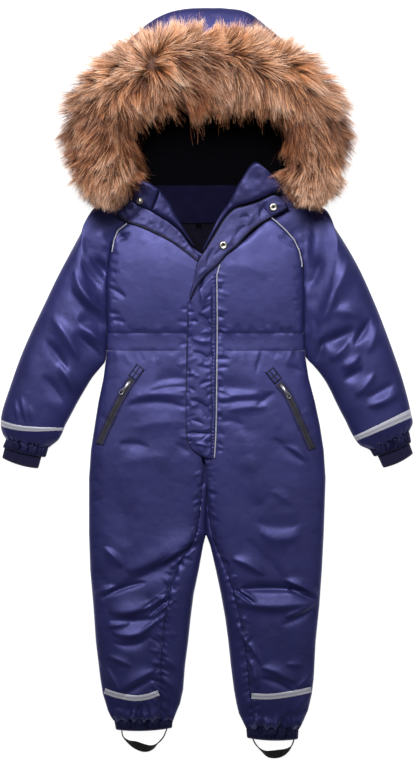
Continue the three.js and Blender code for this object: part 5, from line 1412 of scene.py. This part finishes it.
FLAP_CREASES = table(
    FOLD_COLUMNS,
    (0, 186, 12, 214, 2, 3, 5, -1.4), (22, 208, 40, 234, -2, 4, 5, 1.1), (46, 232, 62, 250, 2, 4, 4, -1.3),
    (66, 250, 74, 268, 1, 4, 5, 1.2), (84, 262, 96, 288, 2, 3.5, 5, -1.3), (-14, 168, 0, 182, 1, 3, 4, 1.0),
    (52, 262, 70, 262, 2, 4, 5, -1.0), (10, 200, 34, 216, 2, 3, 4, -0.9),
    (104, 280, 120, 284, 1, 3, 4, 0.8),
)


def flap_relief(x, y):
    """The turned-out flap is full between its stitched edges, with a few soft creases across it."""
    return 0.8 * fold_sum(x, y, FLAP_CREASES) + 0.4 * noise(x, y, 23, 85) + 0.12 * noise(x, y, 9, 86)


def collar_relief(x, y):
    return 0.6 * noise(x, y, 16, 87) + 0.4 * noise(x, y, 6, 88)


def chin_relief(x, y):
    return 1.1 * noise(x, y, 22, 89) + 0.5 * noise(x, y, 9, 90)


def build_neck():
    band_low = lambda x, y, t, v: laid_on(x, y) + 1.5 * t
    looks = {"material": NYLON_DARK, "rests_on": ["chest_left"]}
    strip("collar_band", COLLAR_BAND, band_low, 110, 16, 3.0, 1.8, 3.0, collar_relief, **looks)
    inner_low = lambda x, y, t, v: NECK_SEAT + 4 * rise_after(0.6, t)
    looks = {"material": NYLON_DARK}
    strip("collar_inner", COLLAR_INNER, inner_low, 80, 22, CHIN_THICK, 3.5, 8.0, chin_relief, **looks)
    looks = {"material": NYLON_DARK, "rests_on": ["collar_band"]}
    strip("chin_left", CHIN_LEFT, chin_left_low, 40, 30, CHIN_THICK, 4.0, 8.0, chin_relief, **looks)
    right_low = lambda x, y, t, v: NECK_SEAT + 10 * rise_after(0.3, t) + 2 * v * t
    looks = {"material": NYLON_DARK}
    strip("chin_right", CHIN_RIGHT, right_low, 110, 24, CHIN_THICK, 4.0, 9.0, chin_relief, **looks)
    looks = {"material": NYLON_DARK, "rests_on": ["chest_right"]}
    strip("flap_turned", FLAP_TURNED, flap_low, 170, 30, FLAP_PUFF, 1.8, 3.0, flap_relief, **looks)
    looks = {"rests_on": ["chest_right"]}
    strip("placket", PLACKET, placket_low, 200, 36, FLAP_THICK, 1.4, 3.0, placket_relief, **looks)
    facing_low = lambda x, y, t, v: MID + GAP + 0 * x
    looks = {"material": NYLON_PAINTED_SHADE, "rests_on": ["back_upper"]}
    strip("neck_facing", FACING, facing_low, 50, 24, STRIP, relief=facing_relief, **looks)
    looks = {"material": LINING, "slot": "lining", "rests_on": ["back_upper"]}
    lining_low = lambda x, y, t, v: MID - SLIT / 2 + GAP + 0 * x
    strip("back_lining", BACK_LINING, lining_low, 60, 40, 1.0, relief=facing_relief, **looks)
    x = np.linspace(-60, 49, 60)
    cord("facing_edge", stack(x, 254.2 + 0 * x, MID + GAP + STRIP - 0.4), 0.8, BLACK_LINING_PAINTED_SHADE)
    looks = {"material": BLACK_LINING_PAINTED_SHADE, "slot": "black_lining", "is_sheet": False}
    label_low = lambda x, y, t, v: MID + 1.1 + 0 * x
    strip("neck_label", LABEL, label_low, 12, 10, 0.6, **looks)
    x, y = edge_line(FLAP_TURNED, False, 170, 0.8)
    cord("flap_edge", stack(x, y, flap_low(x, y) + 1.2), 1.3, EDGING)
    x, y = edge_line(FLAP_TURNED, True, 170, 0.8)
    cord("flap_upper_edge", stack(x, y, flap_low(x, y) + 1.2)[30:], 1.2, EDGING)
    # A dark cord along the placket's left edge draws the dark line there.
    x, y = edge_line(PLACKET, False, 200, 0.4)
    cord("placket_edge", stack(x, y, placket_low(x, y, 0, 0) + 0.7), 0.9, EDGING)
    x, y = edge_line(COLLAR_BAND, False, 110, 0.6)
    band = stack(x, y, band_low(x, y, np.linspace(0, 1, 110), 0) + 1.4)
    cord("collar_band_edge", band, 1.3, EDGING)


def facing_relief(x, y):
    return 0.35 * noise(x, y, 24, 91)


# Piping, tapes, pocket zips and snaps
PIPING_RADIUS = 1.1
PIPING_TOP = (20.6, 187.0)
TAPE_HALF = 4.6
TAPE_THICK = 0.8
ZIP_HALF = 5.5
GARAGE_HALF = 8.0
PULL_LENGTH = 25.0
PULL_HALF = 3.6
PULL_THICK = 1.8
TOOTH_PITCH = 1.3


def line_places(source, count):
    """Places along a line of plan points, with the way to its left and how far along each lies."""
    row = np.linspace(0, len(source["x"]) - 1, count)
    x, y = by_row(source["x"], row), by_row(source["y"], row)
    ahead = unit(np.stack([np.gradient(x), np.gradient(y)], -1))
    far = np.concatenate([[0], np.cumsum(np.hypot(np.diff(x), np.diff(y)))])
    return x, y, np.stack([-ahead[:, 1], ahead[:, 0]], -1), far


def ribbon(name, source, half, thick, material, slot, along, across=9, raise_by=0.0, nodes=None, rests_on=()):
    """A flat strip of one width along a line of plan points."""
    x, y, left, _ = line_places(source, along)
    v = np.linspace(-1, 1, across)
    px = x[:, None] + left[:, :1] * half * v
    py = y[:, None] + left[:, 1:] * half * v
    low = stack(px, py, laid_on(px, py) + raise_by)
    high = low + stack(0 * px, 0, thick * (1 - 0.55 * np.abs(v) ** 9))
    values = {"across": (v + 1) / 2 + 0 * px}
    piece = slab(name, high, low, material, [name] if nodes is None else nodes, values)
    return lay(piece, high)


def build_trim():
    for side in SIDES:
        start, end = RAGLAN_PIPING[side]
        y = np.linspace(start, end, 60)
        x = outer_edge[side](y) + 2.5 * INWARD[side]
        name = "piping_raglan_" + side
        line = stack(x, y, laid_on(x, y) + PIPING_RADIUS)
        cord(name, line, PIPING_RADIUS, PIPING, [name])
        name = "leg_tape_" + side
        looks = {"nodes": [name], "rests_on": ["front_leg_" + side]}
        ribbon(name, LEG_TAPE[side], TAPE_HALF, TAPE_THICK, REFLECTIVE, "reflective", 90, **looks)
    row = 0.15 + np.linspace(0, 1, 160) * (len(PLACKET["ux"]) - 1.3)
    x, y = by_row(PLACKET["ux"], row) + PIPING_RADIUS + GAP + 0.3, by_row(PLACKET["uy"], row)
    top = np.linspace(0, 1, 20)[:-1]
    x = np.concatenate([mix(PIPING_TOP[0], x[0], top), x])
    y = np.concatenate([mix(PIPING_TOP[1], y[0], top), y])
    line = stack(x, y, laid_on(x, y) + PIPING_RADIUS)
    cord("piping_placket", line, PIPING_RADIUS, PIPING, ["piping_placket"])


def merged_blocks(name, centres, along, across, sizes, material, slot):
    """Small blocks with bevelled tops, one at each place: stitches or zip teeth."""
    up = unit(np.cross(along, across))
    corner = np.array([(-1, -1), (1, -1), (1, 1), (-1, 1)], float)
    length, width, height = sizes
    levels = ((1.0, -0.6), (1.0, 0.1), (0.6, 1.0))
    points = []
    for share, rise in levels:
        a = corner[:, 0] * share * length / 2
        b = corner[:, 1] * share * width / 2
        place = centres[:, None] + along[:, None] * a[None, :, None] + across[:, None] * b[None, :, None]
        points.append(place + up[:, None] * rise * height)
    points = np.stack(points, 1)
    ring = grid_faces(3, 4, wrap=True)
    faces = np.concatenate([ring, [[3, 2, 1, 0], [8, 9, 10, 11]]])
    shifted = (np.arange(len(centres))[:, None, None] * 12 + faces[None]).reshape(-1, 4)
    mesh = make_mesh(name, points.reshape(-1, 3), [shifted])
    return add_piece(name, mesh, material, sharp=40)


def stitches_on(lines, pitch=3.4):
    """Centres and directions of stitches along lines of points on the cloth."""
    centres, ways = [], []
    for line in lines:
        far = np.concatenate([[0], np.cumsum(np.linalg.norm(np.diff(line, axis=0), axis=1))])
        at = np.arange(pitch / 2, far[-1], pitch)
        point = np.stack([np.interp(at, far, line[:, c]) for c in range(3)], -1)
        ahead = np.stack([np.interp(at + 0.4, far, line[:, c]) for c in range(3)], -1)
        centres.append(point)
        ways.append(unit(ahead - point + [1e-6, 0, 0]))
    return np.concatenate(centres), np.concatenate(ways)


def build_stitches():
    lines = []
    flat = {"left": (-155, -36), "right": (18, 151)}
    for side in SIDES:
        x = np.linspace(*flat[side], 120)
        for y in (WAIST_TOP - 3.2, WAIST_BOTTOM + 3.2):
            lines.append(stack(x, y, front_top(x, y) - sewn_dip(3.0) + 0.1))
        y = np.linspace(44, HEM_TOP[side] + 6, 400)
        x = front_inner[side](y) - 3.0 * INWARD[side]
        below = y < -124
        lines.append(stack(x, y, front_top(x, y) - sewn_dip(2.8) + 0.1)[below])
        for away in (-8.6, 8.6):
            x, y, left, _ = line_places(POCKET_ZIP[side], 90)
            x, y = x + left[:, 0] * away, y + left[:, 1] * away
            lines.append(stack(x, y, front_top(x, y) + 0.1))
    y = np.linspace(148, -108, 300)
    x = np.full(300, PLACKET_STITCH)
    lines.append(stack(x, y, laid_on(x, y) + PLACKET_RAISE * 0.7 + 0.9))
    x, y = edge_line(FLAP_TURNED, False, 160, 5.0)
    lines.append(stack(x, y, flap_low(x, y) + FLAP_PUFF + flap_relief(x, y)))
    x, y = edge_line(COLLAR_BAND, False, 110, 4.0)
    lines.append(stack(x, y, laid_on(x, y) + 1.5 * np.linspace(0, 1, 110) + 3.0 + collar_relief(x, y)))
    centres, along = stitches_on(lines)
    across = unit(np.cross([0, 0, 1], along))
    merged_blocks("stitching", centres, along, across, (2.4, 0.7, 0.4), THREAD, "nylon")


def build_pockets():
    for side in SIDES:
        name = "pocket_zip_" + side
        looks = {"nodes": [name], "rests_on": ["front_leg_" + side]}
        ribbon(name, POCKET_ZIP[side], ZIP_HALF, STRIP, ZIP_TAPE, "zip_tape", 110, 13, **looks)
        x, y, left, far = line_places(POCKET_ZIP[side], 400)
        at = np.arange(2, far[-1] - 2, TOOTH_PITCH)
        place = np.stack([np.interp(at, far, c) for c in (x, y)], -1)
        over = unit(np.stack([np.interp(at, far, left[:, c]) for c in (0, 1)], -1))
        shift = np.where(np.arange(len(at)) % 2, 0.7, -0.7)[:, None]
        place = place + over * shift
        z = laid_on(place[:, 0], place[:, 1]) + STRIP + 0.35
        centres = np.column_stack([place, z])
        across = np.column_stack([over, 0 * at])
        along = np.column_stack([over[:, 1], -over[:, 0], 0 * at])
        merged_blocks("pocket_teeth_" + side, centres, along, across, (0.9, 2.8, 0.7), COIL, "zip_tape")
        end = line_end(side)
        merged_blocks("pocket_bar_" + side, *end, (2.2, 12.5, 0.8), EDGING, "nylon")
        name = "zip_garage_" + side
        looks = {"nodes": [name], "rests_on": ["front_leg_" + side]}
        ribbon(name, GARAGE[side], GARAGE_HALF, STRIP + 0.3, NYLON, "nylon", 24, 17, **looks)
        centres, along = stitches_on(garage_lines(side), 2.6)
        over = unit(np.cross([0, 0, 1], along))
        merged_blocks("garage_stitching_" + side, centres, along, over, (2.3, 1.8, 0.7), EDGING, "nylon")
        build_welt(side)
        build_pull(side)


def garage_lines(side):
    """Dark stitches round a garage patch and across it."""
    x, y, left, _ = line_places(GARAGE[side], 12)
    lines = []
    for away in (-6.4, 0.6, 6.4):
        px, py = x + left[:, 0] * away, y + left[:, 1] * away
        lines.append(stack(px, py, laid_on(px, py) + STRIP + 0.4))
    for k in (1, 5, 10):
        over = np.linspace(-6.4, 6.4, 8)
        px, py = x[k] + left[k, 0] * over, y[k] + left[k, 1] * over
        lines.append(stack(px, py, laid_on(px, py) + STRIP + 0.4))
    return lines


def line_end(side):
    """The place and directions of the bar tack across a pocket zip's lower end."""
    x, y, left, _ = line_places(POCKET_ZIP[side], 60)
    place = np.array([[x[-1], y[-1], laid_on(x[-1:], y[-1:])[0] + STRIP + 0.2]])
    across = np.array([[*left[-1], 0]])
    return place, np.cross(across, [[0, 0, 1]]), across


def build_welt(side):
    """The rolled edge of nylon on each side of a pocket zip."""
    for k, away in enumerate((-ZIP_HALF - 0.4, ZIP_HALF + 0.4)):
        x, y, left, _ = line_places(POCKET_ZIP[side], 90)
        x, y = x + left[:, 0] * away, y + left[:, 1] * away
        line = stack(x, y, laid_on(x, y) + 0.7)
        cord(f"pocket_welt_{side}_{k + 1}", line, 1.15, NYLON)


def pull_outline(count):
    """A zip pull's outline, narrow at its slider and round at its ring, and the ways out from its hole."""
    far = PULL_LENGTH - 2 * PULL_HALF
    small = PULL_HALF * 0.62
    turn = np.linspace(math.pi / 2, 3 * math.pi / 2, count)
    start = np.stack([small * np.cos(turn), small * np.sin(turn)], -1)
    side = np.linspace(0.05, 0.95, count)
    waist = mix(small, PULL_HALF, ease(side * 1.6 - 0.6))
    lower = np.stack([far * side, -waist], -1)
    turn = np.linspace(-math.pi / 2, math.pi / 2, count)
    end = np.stack([far + PULL_HALF * np.cos(turn), PULL_HALF * np.sin(turn)], -1)
    upper = np.stack([far * side, waist], -1)[::-1]
    outline = np.concatenate([start, lower, end, upper])
    centre = np.array([far, 0])
    return outline, centre, unit(outline - centre)


def build_pull(side):
    outline, centre, away = pull_outline(14)
    hole = PULL_HALF * 0.52
    inward = unit(centre * [0.5, 0] - outline)
    x, y, turn = PULL[side]
    angle = math.radians(turn)
    reach = np.linspace(0, 1, 5) * (PULL_LENGTH - 2 * PULL_HALF)
    spine_x, spine_y = x + math.cos(angle) * reach, y + math.sin(angle) * reach
    base = front_top(spine_x, spine_y).max() + LIFT + STRIP + 0.8
    rings = []
    for inset, rise in ((0.0, 0.4), (0.0, PULL_THICK - 0.4), (0.4, PULL_THICK)):
        rings.append(np.column_stack([outline + inward * inset, np.full(len(outline), rise)]))
    well = ((hole + 0.35, PULL_THICK), (hole, PULL_THICK - 0.35), (hole, 0.35), (hole + 0.35, 0.0))
    for radius, rise in well:
        rings.append(np.column_stack([centre + away * radius, np.full(len(outline), rise)]))
    rings.append(np.column_stack([outline + inward * 0.4, np.zeros(len(outline))]))
    rings = np.stack(rings)
    cos, sin = math.cos(angle), math.sin(angle)
    along, over, up = (rings[..., k] for k in range(3))
    rings = stack(x + cos * along - sin * over, y + sin * along + cos * over, up + base)
    name = "zip_pull_" + side
    tube(name, rings[:4], rings[:3:-1], DARK_METAL, [name])
    back = stack(x - cos * 2.5, y - sin * 2.5, 0)
    slider = np.array([[*back[:2], base - 1.0]])
    along, across = np.array([[cos, sin, 0.0]]), np.array([[-sin, cos, 0.0]])
    merged_blocks("zip_slider_" + side, slider, along, across, (9.0, 6.4, 2.2), DARK_METAL, "metal")


def turned(profile, x, y, z):
    """Rings of a round part turned from a profile of radii and heights."""
    angle = np.linspace(0, TAU, 48, endpoint=False)
    radius, rise = profile["r"][:, None], profile["h"][:, None]
    return stack(x + radius * np.cos(angle), y + radius * np.sin(angle), z + rise)


SOCKET = table(
    "r h",
    (2.3, 0), (6.4, 0), (6.8, 0.3), (6.6, 0.8), (5.9, 1.5), (5.4, 2.2), (4.9, 2.4), (3.8, 2.4), (3.3, 2.1),
    (2.9, 1.5), (2.3, 1.4),
)
STUD = table(
    "r h",
    (0.05, 0), (5.2, 0), (5.4, 0.3), (5.1, 0.9), (3.5, 1.3), (2.6, 1.8), (2.4, 2.4), (2.7, 3.0), (2.6, 3.6),
    (2.0, 4.1), (1.0, 4.25), (0.05, 4.3),
)
WELL = table("r h", (0.05, 0.2), (2.6, 0.2), (2.6, 0.5), (0.05, 0.5))
SNAP_SEAT = 0.6
SNAPS = {"lower": (26, 218), "upper": (106, 279)}
STUD_PLACE = (-107, 289, 0.6, 0.22)


def build_snaps():
    for kind, (x, y) in SNAPS.items():
        z = float(flap_low(np.array([x]), np.array([y]))[0]) + FLAP_PUFF + SNAP_SEAT
        rings = turned(SOCKET, x, y, z)
        name = "snap_socket_" + kind
        tube(name, rings[:6], rings[:5:-1], NICKEL, [name])
        loft("snap_well_" + kind, turned(WELL, x, y, z), EDGING)
    x, y, t, v = STUD_PLACE
    rings = turned(STUD, x, y, chin_left_low(0, 0, t, v) + CHIN_THICK + SNAP_SEAT)
    loft("snap_stud", rings, NICKEL, ["snap_stud"])


build_front()
build_back()
build_sleeves()
build_cuffs_and_hems()
build_straps()
build_hood()
build_fur()
build_neck()
build_trim()
build_stitches()
build_pockets()
build_snaps()


# Floor, lights and camera, in metres and watts
WORLD_LIGHT = 0.14
KEY = {"shape": "RECTANGLE", "size": 1.25, "size_y": 0.8, "spread": math.radians(80), "energy": 13.5}
KEY_PLACE, KEY_TARGET = (-0.15, 1.12, 1.65), (0, 0.3, 0)
FILL = {"shape": "RECTANGLE", "size": 0.9, "size_y": 0.9, "energy": 3.0}
FILL_PLACE, FILL_TARGET = (1.5, -0.3, 2.2), (0, 0.1, 0)
FLOOR_HALF = 6.0
CAMERA_PLACE = (0.0016, 0.0016, 4.02)
LENS = 118.1


def aimed(kind, name, place, target, **settings):
    """A light or camera at a place, turned to look at a target."""
    data = bpy.data.lights.new(name, kind) if kind != "CAMERA" else bpy.data.cameras.new(name)
    for key, value in settings.items():
        setattr(data, key, value)
    made = bpy.data.objects.new(name, data)
    made.location = place
    made.rotation_euler = (Vector(target) - Vector(place)).to_track_quat("-Z", "Y").to_euler()
    bpy.context.scene.collection.objects.link(made)
    return made


def build_stage():
    mesh = bpy.data.meshes.new("floor")
    far = FLOOR_HALF
    mesh.from_pydata([(-far, -far, 0), (far, -far, 0), (far, far, 0), (-far, far, 0)], [], [(0, 1, 2, 3)])
    floor = bpy.data.objects.new("floor", mesh)
    bpy.context.scene.collection.objects.link(floor)
    white = {"Specular_IOR_Level": 0.0, "Emission_Color": (1, 1, 1, 1), "Emission_Strength": 0.95}
    mesh.materials.append(new_material("white_floor", (0.25, 0.25, 0.25), 0.9, **white))
    scene = bpy.context.scene
    scene.world = bpy.data.worlds.new("soft_white")
    scene.world.use_nodes = True
    sky = scene.world.node_tree.nodes["Background"]
    sky.inputs["Color"].default_value = (0.95, 0.96, 1.0, 1)
    sky.inputs["Strength"].default_value = WORLD_LIGHT
    aimed("AREA", "key", KEY_PLACE, KEY_TARGET, **KEY)
    aimed("AREA", "fill", FILL_PLACE, FILL_TARGET, **FILL)
    scene.view_settings.view_transform = "Standard"
    scene.view_settings.look = "None"
    below = (*CAMERA_PLACE[:2], 0)
    camera = aimed("CAMERA", "camera", CAMERA_PLACE, below, lens=LENS, sensor_width=36.0)
    camera.rotation_euler = (0, 0, 0)
    camera.data.clip_end = 20
    scene.camera = camera


build_stage()
